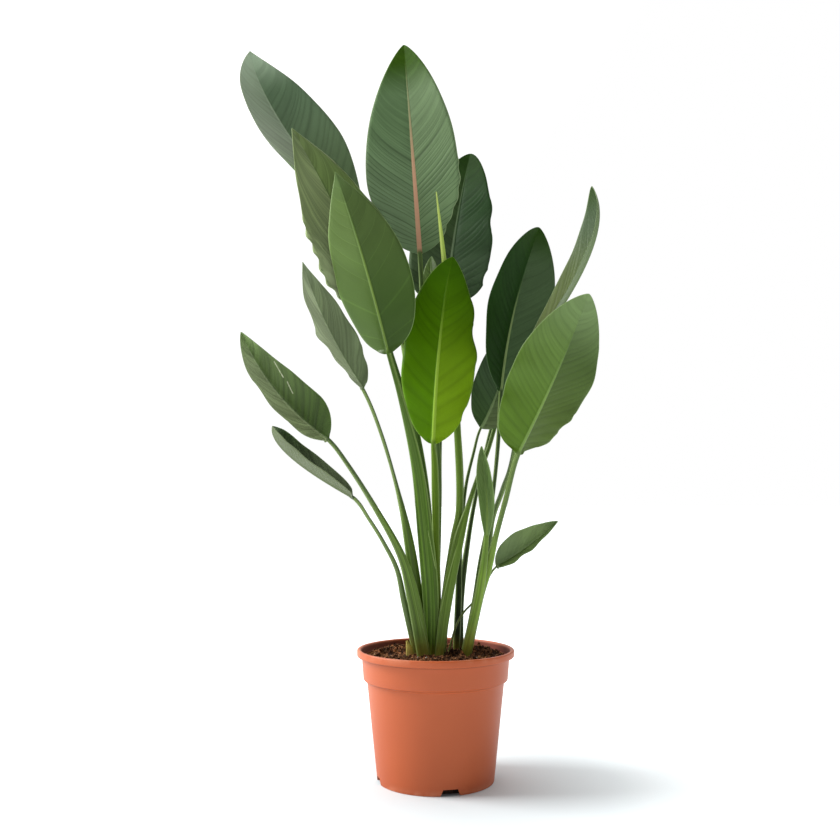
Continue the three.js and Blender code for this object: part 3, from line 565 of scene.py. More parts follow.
# %% Leaf sizes
LEAVES = {
    "low_left": dict(
        stalk=[[-13, -17, 148, 9], [-29, -24, 236, 9], [-46, -32, 296, 5.6], [-82, -48, 362, 3.6],
               [-115, -60, 414, 3], [-139, -70, 445, 2.9]],
        mid=[-203, -88, 504], tip=[-248, -100, 580], face=[0.39, -0.91, 0.11],
        half=38, widest=0.27, swell=0.65, taper=0.88, fold=[38, 40], curl=[6, -6], twist=30,
        wave=[1.6, 3, 0.4], relief=0.35, sweep=0.75,
        ripples=[[-1, 0.06, 0.32, 0.5, 0, -3], [-1, 0.32, 0.68, 0.5, 0.6, 3.5]],
        flaps=[[150, 0.95, 262, -0.2, -1]],
    ),
    "back_right": dict(
        stalk=[[2.5, -17, 148, 5.8], [14.8, -15, 235, 7.5], [31, -8, 313, 7], [45, 4, 360, 3.6],
               [59, 22, 399, 3.1], [79, 58, 448, 3.1], [106, 96, 536, 3.1]],
        mid=[138, 140, 638], tip=[170, 192, 732], face=[0.09, -0.89, 0.45],
        half=38, widest=0.4, swell=0.6, taper=0.8, fold=[14, 14], curl=[6, 6], wave=[1.5, 3, 1],
        flaps=[[205, -0.95, 345, 0.2, 1]],
    ),
    "low_left_folded": dict(
        stalk=[[-22, -7, 148, 5], [-41, -13, 229, 4.2], [-51, -22, 275, 3.2], [-68, -37, 311, 2.7],
               [-86, -58, 342, 2.6], [-105, -79, 370, 2.6]],
        mid=[-184, -102, 422], tip=[-204, -117, 459], face=[0.43, -0.32, 0.85],
        half=25, widest=0.4, swell=0.45, taper=0.5, fold=[43, 43], curl=[6, 6], wave=[0.8, 3, 2],
        vein_gap=7,
    ),
    "front_left": dict(
        stalk=[[-6, -7.5, 148, 5.5], [-6.5, -13.3, 235, 11], [-14, -21, 325, 10.6], [-25, -33, 414, 8],
               [-45, -44, 499, 4.4], [-62, -51, 560, 3.2]],
        mid=[-99, -64, 696], tip=[-133, -68, 800], face=[-0.22, -0.97, -0.13],
        half=56, widest=0.33, swell=0.44, taper=1.25, fold=[-19, -18], curl=[-5, 7], twist=-25,
        wave=[1.5, 3, 0], relief=0.35, vein_gap=25, relief_end=1, cord=1.6, round_base=0.65,
        flaps=[[262, 0.98, 372, 0.1, -1]],
    ),
    "young_centre": dict(
        stalk=[[4.5, -6, 148, 4], [3, -5.5, 235, 4.5], [1, -9, 314, 4.6], [0, -13, 368, 5.2],
               [-1, -15, 415, 4.6], [-3, -16, 443, 3.1]],
        mid=[7, -18, 591], tip=[24, -12, 700], face=[-0.09, -1, 0.03],
        half=53, widest=0.37, swell=0.5, taper=0.78, fold=[-16, -16], curl=[6, -18], twist=-20,
        wave=[3, 3, 0.6], vein_gap=19, relief_end=0.8,
        ripples=[[1, 0.1, 0.17, 0.5, 1, 2.5], [1, 0.16, 0.34, 0.5, -1.5, -2.5], [1, 0.36, 0.6, 1, 1, -1.4],
                 [1, 0.6, 0.75, 0.5, 1, -1.2], [-1, 0.3, 0.5, 1, 0.8, 0.8]],
    ),
    "mid_left": dict(
        stalk=[[-17, 2, 148, 7], [-25, -4, 234, 9], [-36, -16, 314, 6.7], [-51, -32, 383, 2.9],
               [-72, -48, 455, 2.6], [-95, -62, 511, 2.6]],
        mid=[-142, -72, 593], tip=[-175, -66, 679], face=[0.68, -0.66, 0.31],
        half=36, widest=0.31, swell=0.45, taper=1.2, fold=[20, 20], curl=[-8, 0], twist=36,
        wave=[2, 3, 1.2], relief=0.5, sweep=0.9, rush=4,
        ripples=[[1, 0.02, 0.3, 2, 1.5, 2], [-1, 0.1, 0.5, 2, 1.2, 1.5]],
    ),
    "top": dict(
        stalk=[[-5, 3, 148, 5], [-1, 4, 233, 5], [4, 8, 341, 4.4], [3, 16, 442, 4],
               [-14, 32, 606, 3.6], [-21, 40, 718, 3.3]],
        mid=[-32, 52, 876], tip=[-45, 70, 1043], face=[-0.16, -0.98, 0.08],
        half=70, widest=0.37, swell=0.78, taper=0.81, fold=[14, 14], curl=[-2, 4], twist=13,
        wave=[1.5, 3, 0], relief=1, vein_gap=6.8, relief_end=0.62, sweep=0.55, round_base=0.1,
        ripples=[[1, 0.08, 0.42, 4, 1, 0.8], [1, -0.04, 0.12, 0.5, 0, -7], [-1, -0.04, 0.12, 0.5, 0, -7],
                 [-1, 0.07, 0.26, 0.5, 0, 7.5]],
    ),
    "spear": dict(
        stalk=[[7, 3, 148, 5], [14, 4, 233, 6.4], [25, 5, 311, 5.6], [33, 7, 361, 4.8],
               [31, 9, 454, 4.9], [22, 10, 603, 5]],
        mid=[13, 10, 699], tip=[2, 10, 799], face=[-0.05, -1, 0],
        rolled=5,
    ),
    "left_back": dict(
        stalk=[[-13, 12, 148, 5.4], [-11, 16, 232, 5.4], [-9, 18, 340, 5.2], [-24, 18, 450, 5],
               [-44, 17, 517, 3.6], [-69, 16, 598, 3]],
        mid=[-118, 14, 731], tip=[-204, 26, 897], face=[0.5, -0.8, 0.33],
        half=71, widest=0.45, swell=0.8, taper=1, fold=[8, 8], curl=[-10, 10], twist=-10,
        wave=[3, 4, 0.5], relief=0.55, relief_end=0.75, sweep=0.95, rush=6,
        ripples=[[-1, 0.1, 0.65, 7, 1.8, 1], [1, 0.52, 0.86, 0.5, 0, 5]],
    ),
    "right_of_top": dict(
        stalk=[[-2, 12, 148, 5], [1, 20, 232, 4.6], [5, 34, 340, 4], [7, 48, 452, 3.4],
               [13, 62, 554, 3.2], [19, 74, 651, 3]],
        mid=[31, 92, 760], tip=[56, 120, 895], face=[-0.26, -0.94, 0.21],
        half=63, widest=0.37, swell=0.32, taper=0.63, fold=[12, 13], curl=[1, 2], twist=15,
        wave=[2.6, 4, 0.8], relief=0.5, vein_gap=11,
        ripples=[[1, 0.13, 0.24, 0.5, 2, 3], [1, 0.26, 0.5, 1.5, 1.2, -1.2], [1, 0.5, 0.72, 1, 1, 0.8]],
    ),
    "small_centre_back": dict(
        stalk=[[9, 12, 148, 4.2], [17, 18, 232, 4], [30, 26, 313, 3.2], [37, 32, 361, 2.8],
               [36, 40, 440, 2.5], [26, 50, 552, 2], [9, 56, 628, 2]],
        mid=[-2, 56, 677], tip=[-4, 58, 719], face=[-0.5, -0.84, 0],
        half=18, widest=0.36, swell=0.7, taper=0.9, fold=[10, 10], wave=[0.8, 2, 0],
    ),
    "upper_left": dict(
        stalk=[[-10, 21, 148, 5.4], [-13, 28, 231, 5.2], [-18, 38, 340, 4.6], [-25, 46, 452, 4],
               [-55, 62, 641, 3.5], [-93, 70, 753, 3.3]],
        mid=[-223, 88, 920], tip=[-278, 92, 1044], face=[0.5, -0.8, 0.34],
        half=70, widest=0.39, swell=1.3, taper=1.02, fold=[21, 20], curl=[0, 12], twist=13,
        wave=[1.5, 3, 0], relief=0.35, vein_gap=13, relief_end=0.75,
        ripples=[[-1, 0.38, 0.6, 0.5, 0, 2.5]],
    ),
    "small_right_front": dict(
        stalk=[[35, -12, 148, 7], [54, -15, 225, 6.5], [61, -19, 264, 5.9], [65, -23, 294, 4.5],
               [67, -27, 319, 3.4]],
        mid=[67, -38, 378], tip=[60, -46, 438], face=[-0.23, -0.96, -0.14],
        half=14, widest=0.56, swell=1.05, taper=0.86, fold=[36, 36], curl=[8, 4], twist=30,
        wave=[0.6, 2, 0], sweep=0.9, rush=5,
    ),
    "right_front": dict(
        stalk=[[38, -3, 148, 7], [57, -6, 235, 7], [70, -13, 277, 5.6], [80, -22, 320, 3.8],
               [92, -31, 366, 3.7], [108, -44, 428, 3.6]],
        mid=[155, -66, 528], tip=[196, -92, 631], face=[0.35, -0.87, -0.36],
        half=58, widest=0.45, swell=0.55, taper=0.74, fold=[-20, -20], curl=[2, 29], twist=22,
        wave=[2.6, 4, 0.3], relief=0.4, relief_end=0.95,
        ripples=[[1, 0.05, 0.36, 3.5, 1.5, 2], [1, 0.16, 0.8, 0.5, 0, -4.5],
                 [1, -0.03, 0.085, 0.5, 0, 5.5], [1, 0.07, 0.22, 0.5, 0, -6],
                 [-1, -0.06, 0.14, 0.5, 0, -4], [-1, -0.04, 0.3, 0.5, 0, -4]],
    ),
    "right_tall": dict(
        stalk=[[39, 5, 148, 5.4], [56, 5, 233, 5.4], [69, 2, 287, 4.6], [77, -2, 341, 3.5],
               [91, -6, 382, 3.4], [105, -12, 429, 3.3], [128, -16, 568, 3.2]],
        mid=[214, -18, 708], tip=[215, -20, 797], face=[-0.96, -0.28, 0.1],
        half=30, widest=0.45, swell=0.5, taper=0.7, fold=[34, 34], wave=[0.8, 3, 0],
        sweep=0.95, rush=6,
    ),
    "right_mid": dict(
        stalk=[[38, 14, 148, 5.5], [55, 18, 229, 5.5], [64, 21, 286, 4.7], [78, 24, 361, 2.8],
               [87, 24, 440, 2.9], [92, 24, 518, 3]],
        mid=[112, 30, 635], tip=[152, 56, 761], face=[0.36, -0.93, 0.03],
        half=53, widest=0.51, swell=0.77, taper=0.75, fold=[27, 26], curl=[-7, 5], twist=-8,
        wave=[1.5, 3, 0], vein_gap=13,
    ),
    "right_inner": dict(
        stalk=[[28, 28, 148, 5], [32, 33, 228, 4.7], [35, 40, 305, 3.4], [43, 48, 382, 2.4],
               [55, 56, 433, 2.1], [66, 60, 470, 1.8]],
        mid=[89, 66, 519], tip=[122, 80, 615], face=[0.08, -0.99, 0.14],
        half=39, widest=0.6, swell=0.8, taper=0.5, fold=[14, 14], curl=[3, 1], twist=3,
        wave=[1.2, 3, 0],
    ),
    "back_low": dict(
        stalk=[[34, 36, 148, 5.3], [35, 42, 227, 5.3], [46, 56, 305, 3.7], [58, 72, 368, 2.9],
               [77, 92, 448, 2.5], [97, 112, 519, 2.4]],
        mid=[120, 152, 594], tip=[145, 205, 670], face=[0.1, -0.86, 0.49],
        half=34, widest=0.4, swell=0.6, taper=0.8, fold=[14, 14], curl=[6, 6], wave=[1.4, 3, 2],
    ),
    "low_right": dict(
        stalk=[[14, 8, 148, 1.5], [26, 14, 192, 1.4], [38, 20, 214, 1.4], [54, 25, 231, 1.4],
               [73, 29, 261, 1.4], [84, 27, 276, 1.4]],
        mid=[127, 17, 304], tip=[165, -4, 339], face=[-0.31, -0.86, 0.41],
        half=25, widest=0.38, swell=0.5, taper=0.8, fold=[42, 48], wave=[1.4, 3, 0], sweep=0.9, rush=5,
        ripples=[[1, 0.08, 0.85, 0.5, 0, 2.5], [-1, 0.08, 0.85, 0.5, 0, -2.5]],
    ),
}
PLAIN_LEAF = dict(  # what a leaf has when its own entry says nothing else
    fold=[0, 0], curl=[0, 0], twist=0, wave=[0, 1, 0], ripples=[], flaps=[], rolled=0, relief=0.3,
    vein_gap=9, relief_end=0.9, sweep=0.6, rush=2.2, round_base=0.5, cord=2.2, half=1, widest=0.5,
    swell=1, taper=1,
)

for number, leaf in enumerate(LEAVES.values()):
    leaf.update({**PLAIN_LEAF, **leaf}, neck=leaf["stalk"][-1][:3], seed=number)
    steps = np.diff(midrib(leaf, np.linspace(0, 1, 50))[0], axis=0)
    leaf["length"] = np.linalg.norm(steps, axis=1).sum()
    leaf["sheath"] = max(point[3] for point in leaf["stalk"])
print("longest blade:", round(max(leaf["length"] for leaf in LEAVES.values())), "mm")

# %% [markdown]
# ## Finishes of the leaves
# Two effects are used by every leaf, so each is a node group. The first draws a soft line: full where
# a distance is below a width, and fading past it. It makes the midrib, the margins and the edges of
# the sheaths. The second makes streaks that follow the side veins: noise read at the vein count and,
# much more slowly, across the blade.


# %% Node groups for leaves
def make_line_group():
    """Mask: 1 where the distance is under the width, 0 past the width and the softness."""
    group, given, result = new_group("soft line", "Mask", Distance=0.0, Width=1.0, Softness=0.5)
    distance = math_node(group, "ABSOLUTE", given["Distance"])
    outer = plus(group, given["Width"], given["Softness"])
    group.links.new(ramp(group, distance, given["Width"], outer, 1.0, 0.0), result)
    return group


def make_streak_group():
    """Streak: noise stretched along one direction, from 0 to 1, with its middle tones spread apart."""
    group, given, result = new_group(
        "streaks", "Streak", Along=0.0, Across=0.0, Fineness=1.0, Stretch=0.05, Seed=0.0)
    across = times(group, given["Across"], given["Stretch"])
    place = add(group, "ShaderNodeCombineXYZ", {"X": given["Along"], "Y": across, "Z": given["Seed"]})
    inputs = {"Vector": place.outputs[0], "Scale": given["Fineness"], "Detail": 2.0, "Roughness": 0.6}
    clouds = add(group, "ShaderNodeTexNoise", inputs).outputs["Fac"]
    group.links.new(ramp(group, clouds, 0.32, 0.68), result)
    return group


LINE = make_line_group()
STREAKS = make_streak_group()
print("node groups:", [group.name for group in bpy.data.node_groups])


def line_mask(tree, distance, width, softness):
    """The soft line in use."""
    return use_group(tree, LINE, Distance=distance, Width=width, Softness=softness)["Mask"]


def streak(tree, along, across, fineness, stretch, seed):
    """The streaks in use."""
    return use_group(tree, STREAKS, Along=along, Across=across, Fineness=fineness, Stretch=stretch,
                     Seed=seed)["Streak"]


# %% [markdown]
# A leaf's colour is laid on in coats, as a painter would: a colour for each half near the neck and another
# further out, then the tip, streaks and side veins, the midrib and the pale margin, the paler under side,
# and last the stalk with its fine lines and bands. The halves' colours are partly the leaf's own green and
# partly painted light and shade: the half that the fold turns to the light is painted lighter and the
# other darker, and the change from the neck outwards also holds painted shading. The stalk's dark bands
# are partly its own streaks and partly painted shade for its rounded, overlapping sheaths. Streaks and
# veins only tint what lies under them.
# The shader is a plain skin with little gloss, because a bloom of wax dulls it.


# %% The leaf finish
MEASURES = ("along", "across", "share", "edge", "phase", "blade", "under", "flap")
SCAR_COLOUR = colour(206, 208, 176)
UNDER_SHARE = 0.85  # how much of its own colour the under side shows
BORDER_SHARE = 0.65  # and the thin margin of a stalk
# painted shade: the stalk's dark bands are partly its own streaks and partly painted shade for its
# rounded, overlapping sheaths
SHADED_BAND_TONE = 0.55  # the darkest bands along a stalk, times its colour
SHEEN_CHANGE = 0.08  # how much rougher the fine streaks are


def tinted(tree, base, mask, factor):
    """base where the mask is 0, and base times the factor where it is 1."""
    shade = {0: 1.0, 6: base, 7: ramp(tree, mask, 0.0, 1.0, 1.0, factor)}
    return add(tree, "ShaderNodeMix", shade, data_type="RGBA", blend_type="MULTIPLY").outputs[2]


def scar_mask(tree, share, across, broken, first, first_across, last, last_across):
    """1 on a thin healed scratch between two places on the blade, with gaps where `broken` is low."""
    slope = (last_across - first_across) / (last - first)
    line = times(tree, minus(tree, share, first), slope)
    off = minus(tree, minus(tree, across, first_across), line)
    starts = ramp(tree, share, first - 0.005, first + 0.005)
    ends = ramp(tree, share, last - 0.005, last + 0.005, 1.0, 0.0)
    gaps = ramp(tree, broken, 0.1, 0.5, 0.1, 0.9)
    return times(tree, line_mask(tree, off, 0.35, 0.5), starts, ends, gaps)


def blade_colour(tree, look, read, broad, fine):
    """The blade's coats, from its ground to the pale margin and the under side."""
    across, share = read["across"], read["share"]
    # painted light and shade: the two halves, and their colours from the neck outwards, are partly lit and
    # shaded versions of the leaf's own green
    rise = ramp(tree, share, 0.15, 0.7)
    left, right = (blend(tree, rise, *look[half]) for half in ("left", "right"))
    base = blend(tree, ramp(tree, across, -1.2, 1.2), left, right)
    base = blend(tree, ramp(tree, share, look["tip_start"], look["tip_full"]), base, look["tip"])

    base = tinted(tree, base, broad, 1 - look["streaks"])
    base = tinted(tree, base, fine, 1 - look["hairs"])
    vein = math_node(tree, "ABSOLUTE", math_node(tree, "SINE", times(tree, read["phase"], math.pi)))
    vein_fade = ramp(tree, share, look["relief_end"] - 0.2, look["relief_end"] + 0.1, 1.0, 0.2)
    vein = times(tree, line_mask(tree, vein, 0.03, look["vein_softness"]), vein_fade)
    base = tinted(tree, base, vein, look["vein_tone"])

    cord_width = ramp(tree, share, 0.0, 1.0, look["rib_width"], 0.3)
    rib_fade = ramp(tree, share, look["rib_end"] - 0.25, look["rib_end"], look["rib_share"], 0.0)
    rib = times(tree, line_mask(tree, across, cord_width, 0.8), rib_fade)
    base = blend(tree, rib, base, blend(tree, ramp(tree, share, 0.3, 0.75), *look["rib"]))
    margin_rise = ramp(tree, share, 0.0, 0.05, 0.0, look["margin_share"])
    margin = times(tree, line_mask(tree, read["edge"], 0.4, 0.7), margin_rise)
    base = blend(tree, margin, base, look["margin"])
    for scar in look["scars"]:
        base = blend(tree, scar_mask(tree, share, across, fine, *scar), base, SCAR_COLOUR)
    return blend(tree, times(tree, read["under"], UNDER_SHARE), base, look["under"])


def stalk_colour(tree, look, read, lines, bands):
    """The stalk's coats: fine lines, bands that are partly its own streaks and partly painted shade, the
    slim part, the yellowed foot and the pale margins.
    """
    stalk = tinted(tree, blend(tree, lines, *look["stalk"]), bands, SHADED_BAND_TONE)
    slim = ramp(tree, read["along"], look["slim_low"], look["slim_high"], 0.0, look["slim_share"])
    stalk = blend(tree, slim, stalk, look["slim"])
    foot = ramp(tree, read["along"], look["foot_low"], look["foot_high"], 1.0, 0.0)
    stalk = blend(tree, times(tree, foot, look["foot_share"]), stalk, look["foot"])
    border = times(tree, line_mask(tree, read["edge"], 0.4, 1.6), BORDER_SHARE)
    for rim in (border, line_mask(tree, read["flap"], 0.3, 0.5)):
        stalk = blend(tree, rim, stalk, look["sheath_margin"])
    return stalk


def leaf_finish(name, seed, look):
    """The finish of one leaf from its named colours and strengths."""
    material, tree, shader = new_finish(f"leaf {name}", look["roughness"], look["gloss"])
    readers = {title: add(tree, "ShaderNodeAttribute", attribute_name=title) for title in MEASURES}
    read = {title: node.outputs["Fac"] for title, node in readers.items()}
    broad = streak(tree, read["phase"], read["across"], 0.7, 0.012, seed)
    fine = streak(tree, read["along"], read["across"], 1.4, 0.03, seed + 7)
    lines = streak(tree, read["across"], read["along"], 1.1, 0.004, seed + 3)
    # bands along the stalk: partly its own streaks, partly painted shade for its rounded sheaths
    bands = streak(tree, read["across"], read["along"], 0.24, 0.006, seed + 5)
    blade = blade_colour(tree, look, read, broad, fine)
    stalk = stalk_colour(tree, look, read, lines, bands)
    tree.links.new(blend(tree, read["blade"], stalk, blade), shader.inputs["Base Color"])

    rough = plus(tree, times(tree, fine, SHEEN_CHANGE), look["roughness"])
    tree.links.new(rough, shader.inputs["Roughness"])
    ridge = times(tree, lines, minus(tree, 1.0, read["blade"]))
    set_bump(tree, shader, plus(tree, times(tree, fine, 0.5), ridge), 0.25, 0.0004)
    return material


# %% [markdown]
# Each leaf's look starts from one of four kinds of green and changes what is its own. Colours are given as
# 0 to 255 on a screen. The halves of the blade, the rib and the stalk have two each: from the neck
# outwards, or between the streaks of the stalk. The halves' colours hold painted light and shade as well
# as the leaf's own green.

# %% Leaf colours
COMMON_LOOK = dict(
    tip_start=0.75, tip_full=1.0, rib_width=2.0, rib_end=1.0, rib_share=0.85, margin_share=0.8,
    streaks=0.2, hairs=0.07, vein_tone=0.8, vein_softness=0.35, scars=[], slim_share=0.45,
    foot=(160, 144, 50), foot_share=0.4, sheath_margin=(128, 150, 84))
GREY_GREEN = dict(
    COMMON_LOOK, left=[(108, 132, 94), (92, 118, 78)], right=[(98, 122, 84), (92, 116, 78)],
    tip=(100, 126, 84), rib=[(120, 140, 98), (108, 130, 90)], margin=(142, 160, 116),
    under=(136, 154, 120), stalk=[(78, 102, 46), (112, 134, 80)], slim=(82, 100, 64), roughness=0.42,
    gloss=0.2)
MID_GREEN = dict(
    COMMON_LOOK, left=[(72, 96, 38), (84, 106, 50)], right=[(62, 86, 34), (78, 98, 50)],
    tip=(88, 110, 62), rib=[(110, 134, 62), (80, 104, 48)], margin=(130, 154, 96), under=(112, 136, 84),
    stalk=[(60, 88, 20), (92, 120, 54)], slim=(72, 96, 40), roughness=0.38, gloss=0.15)
DARK_GREEN = dict(
    COMMON_LOOK, left=[(56, 80, 42), (46, 72, 36)], right=[(66, 90, 54), (60, 84, 48)], tip=(42, 70, 24),
    rib=[(112, 132, 84), (80, 100, 64)], margin=(84, 108, 72), under=(86, 110, 76),
    stalk=[(56, 76, 40), (86, 106, 60)], slim=(62, 80, 50), roughness=0.36, gloss=0.1)
YOUNG_GREEN = dict(
    COMMON_LOOK, left=[(74, 114, 2), (64, 102, 0)], right=[(120, 156, 22), (72, 110, 2)], tip=(54, 92, 2),
    tip_start=0.6, rib=[(140, 170, 60), (76, 110, 16)], margin=(120, 152, 60), under=(120, 152, 60),
    stalk=[(82, 114, 20), (126, 154, 50)], slim=(92, 122, 40), roughness=0.34, gloss=0.06)
LOOKS = {
    "low_left": dict(
        GREY_GREEN, left=[(172, 188, 136), (166, 182, 134)], right=[(68, 92, 32), (98, 120, 66)],
        tip=(130, 156, 94), rib_share=0.3, streaks=0.3, vein_tone=0.86, vein_softness=0.9,
        scars=[(0.56, 19.3, 0.7, 22.4), (0.42, 15.4, 0.52, 19.9)], stalk=[(84, 110, 34), (110, 138, 60)],
        slim_share=0.8),
    "back_right": dict(DARK_GREEN, stalk=[(82, 106, 38), (110, 138, 60)]),
    "low_left_folded": dict(
        GREY_GREEN, left=[(100, 108, 88), (90, 100, 74)], right=[(98, 112, 78), (60, 78, 42)],
        under=(94, 104, 70), streaks=0.35, slim_share=0.8),
    "front_left": dict(
        MID_GREEN, left=[(70, 94, 36), (88, 110, 54)], right=[(60, 84, 32), (78, 98, 50)], rib_width=1.0,
        rib_end=0.85, streaks=0.12, hairs=0.04, vein_tone=1.24, vein_softness=0.08,
        stalk=[(64, 96, 8), (98, 130, 44)]),
    "young_centre": dict(YOUNG_GREEN, streaks=0.14, hairs=0.06, vein_tone=0.9, vein_softness=0.7),
    "mid_left": dict(
        GREY_GREEN, left=[(196, 210, 168), (194, 208, 166)], right=[(124, 140, 101), (132, 148, 107)],
        tip=(146, 162, 124), rib_share=0.3, streaks=0.3, vein_tone=0.84, vein_softness=0.9,
        stalk=[(76, 106, 20), (104, 132, 46)], slim_share=0.85),
    "top": dict(
        GREY_GREEN, left=[(118, 142, 104), (98, 124, 84)], right=[(108, 132, 92), (106, 128, 90)],
        tip=(54, 84, 14), tip_start=0.74, tip_full=0.93, rib=[(206, 152, 124), (142, 142, 104)],
        rib_width=3.2, rib_end=0.95, vein_tone=0.64, vein_softness=0.5, gloss=0.07),
    "spear": dict(
        YOUNG_GREEN, left=[(176, 200, 96), (190, 208, 110)], right=[(150, 176, 72), (168, 192, 90)],
        tip=(180, 196, 104), rib_share=0.0, margin_share=0.0, under=(160, 186, 84), streaks=0.0,
        hairs=0.0, vein_tone=1.0, stalk=[(80, 106, 40), (122, 146, 70)]),
    # left_back: its pale left half is partly the leaf's own grey and partly painted light
    "left_back": dict(
        MID_GREEN, left=[(174, 188, 142), (150, 168, 112)], right=[(104, 134, 70), (116, 140, 76)],
        tip=(120, 140, 84), margin=(176, 194, 138), streaks=0.3, vein_tone=0.82, vein_softness=0.8),
    "right_of_top": dict(
        DARK_GREEN, left=[(84, 100, 74), (64, 84, 50)], right=[(72, 92, 66), (50, 74, 44)],
        tip=(38, 64, 20), tip_start=0.65, rib=[(112, 128, 100), (86, 104, 74)], gloss=0.05),
    "small_centre_back": dict(MID_GREEN),
    # upper_left: its pale left half and pale tip are partly the leaf's grey bloom and partly a painted
    # highlight
    "upper_left": dict(
        GREY_GREEN, left=[(200, 212, 186), (156, 174, 144)], right=[(110, 132, 94), (100, 124, 92)],
        tip=(172, 192, 162), tip_start=0.68, rib=[(160, 178, 146), (150, 168, 138)], rib_width=1.2,
        rib_end=0.85, streaks=0.14, vein_tone=0.84, vein_softness=0.9),
    "small_right_front": dict(
        MID_GREEN, left=[(90, 118, 53), (94, 119, 59)], right=[(105, 132, 70), (90, 115, 59)],
        streaks=0.14, vein_tone=0.93, stalk=[(110, 146, 40), (140, 170, 72)]),
    # right_front: its pale tip is a painted highlight
    "right_front": dict(
        MID_GREEN, left=[(84, 116, 26), (96, 124, 54)], right=[(76, 98, 32), (68, 90, 36)],
        tip=(116, 140, 88), tip_start=0.6, rib=[(120, 148, 74), (90, 116, 56)], rib_width=1.8,
        rib_end=0.8, streaks=0.12, hairs=0.05, vein_tone=0.9, vein_softness=0.8,
        stalk=[(106, 140, 40), (136, 166, 72)], slim=(88, 108, 60), slim_share=0.8),
    "right_tall": dict(
        GREY_GREEN, left=[(107, 123, 64), (79, 100, 65)], right=[(119, 133, 66), (86, 106, 55)],
        tip=(64, 88, 38), rib=[(146, 160, 112), (120, 138, 92)], under=(100, 120, 76), streaks=0.14,
        vein_tone=0.88, vein_softness=0.8),
    "right_mid": dict(
        DARK_GREEN, left=[(30, 62, 12), (38, 68, 26)], right=[(80, 104, 68), (80, 102, 68)],
        tip=(44, 74, 18), rib=[(146, 164, 108), (86, 108, 66)], rib_end=0.75, streaks=0.12, hairs=0.06,
        vein_tone=0.88),
    "right_inner": dict(
        DARK_GREEN, left=[(68, 92, 52), (83, 104, 75)], right=[(111, 125, 86), (96, 115, 80)],
        rib=[(134, 152, 108), (104, 124, 86)], stalk=[(48, 62, 34), (76, 94, 54)]),
    "back_low": dict(DARK_GREEN, stalk=[(52, 66, 38), (82, 100, 60)]),
    "low_right": dict(
        MID_GREEN, left=[(133, 155, 104), (123, 145, 88)], right=[(110, 133, 74), (104, 127, 70)],
        rib=[(156, 176, 120), (120, 146, 84)], rib_width=1.0, streaks=0.14, vein_tone=0.92,
        stalk=[(104, 106, 52), (134, 136, 80)]),
}
SINGLE_COLOURS = ("tip", "margin", "under", "slim", "foot", "sheath_margin")
for look in LOOKS.values():
    look.update({key: colour(*look[key]) for key in SINGLE_COLOURS})
    look.update({key: [colour(*end) for end in look[key]] for key in ("left", "right", "rib", "stalk")})
print("looks:", len(LOOKS))

# %% Make every leaf
FOOT_END = 12, 34  # the yellowed foot of a stalk fades out between these distances from the root, in mm
SLIM_START = -0.5, -0.3  # the colour of its slim part comes in between these, in stalk lengths

for name, leaf in LEAVES.items():
    look = {**LOOKS[name], "relief_end": leaf["relief_end"]}
    stalk_length = leaf_rows(leaf)[2]
    look["foot_low"], look["foot_high"] = (end - stalk_length for end in FOOT_END)
    look["slim_low"], look["slim_high"] = (start * stalk_length for start in SLIM_START)
    piece = build_leaf(f"leaf_{name}_blade", leaf)
    piece.data.materials.append(leaf_finish(name, float(leaf["seed"]), look))
    node = f"leaf_{name}"
    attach(piece, "root")
    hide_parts(node)
faces = sum(len(o.data.polygons) for o in bpy.data.objects if o.name.endswith("_blade"))
print("leaves:", len(LEAVES), "with", faces, "faces")

# %% [markdown]
# ## The withered leaf foot
# Beside the clump stands the dry stub of an old leaf, yellow-brown and papery. It is a short tapering
# strip with a frayed top, made as rows of flat ellipses along a bent line.

# %% Dry foot
DRY_PATH = np.array([[-33, -13, 152], [-33.5, -13.5, 163], [-35, -14, 173], [-38, -14, 181]], float)
DRY_HALF_WIDTH = [6, 5.6, 4, 1.2]  # at each point of the path, and so is the depth
DRY_DEPTH = [2, 1.8, 1.3, 0.6]
DRY_ROWS, DRY_SIZE = 40, 32

share = np.linspace(0, 3, DRY_ROWS)
places = np.stack([np.interp(share, range(4), DRY_PATH[:, i]) for i in range(3)], -1)
turn = circle(DRY_SIZE)
wide = np.interp(share, range(4), DRY_HALF_WIDTH)[:, None] * np.cos(turn)
deep = np.interp(share, range(4), DRY_DEPTH)[:, None] * np.sin(turn)
fibre = 1 + 0.12 * np.sin(9 * turn)[None, :] * smoothstep(share, 0, 3)[:, None]
rings = places[:, None] + np.stack([wide * fibre, deep * fibre, 0 * wide], -1)
rings[:, :, 2] += 1.6 * np.sin(5 * turn)[None, :] * smoothstep(share, 2, 3)[:, None]
dry_foot = new_piece("dry_leaf_stub", rings.reshape(-1, 3), skin_faces(DRY_ROWS, DRY_SIZE))

material, tree, shader = new_finish("dry leaf", 0.75)
where, axes = object_place(tree)
fibres = noise(tree, where, (900, 900, 60), 3.0)
tone = blend(tree, fibres, colour(176, 158, 56), colour(220, 208, 116))
tone = blend(tree, ramp(tree, axes["Z"], 0.160, 0.172, 0.6, 0.0), tone, colour(120, 78, 40))
tree.links.new(tone, shader.inputs["Base Color"])
set_bump(tree, shader, fibres, 0.6, 0.0006)
dry_foot.data.materials.append(material)
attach(dry_foot, "root")
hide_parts("dry_leaf_foot")
print("dry foot:", len(dry_foot.data.polygons), "faces")

# %% [markdown]
# ## The pot
# A nursery pot is injection-moulded: a tapered wall, a step out to a straight collar that lets pots
# stack, and a rolled lip. One profile turned round the axis gives all of it. The frame's pot is the
# same profile with few sides, so this one is drawn with small rounds at its edges and 256 sides. The
# drain notches in the foot are cut by four wedges, as the mould's inserts would leave them.

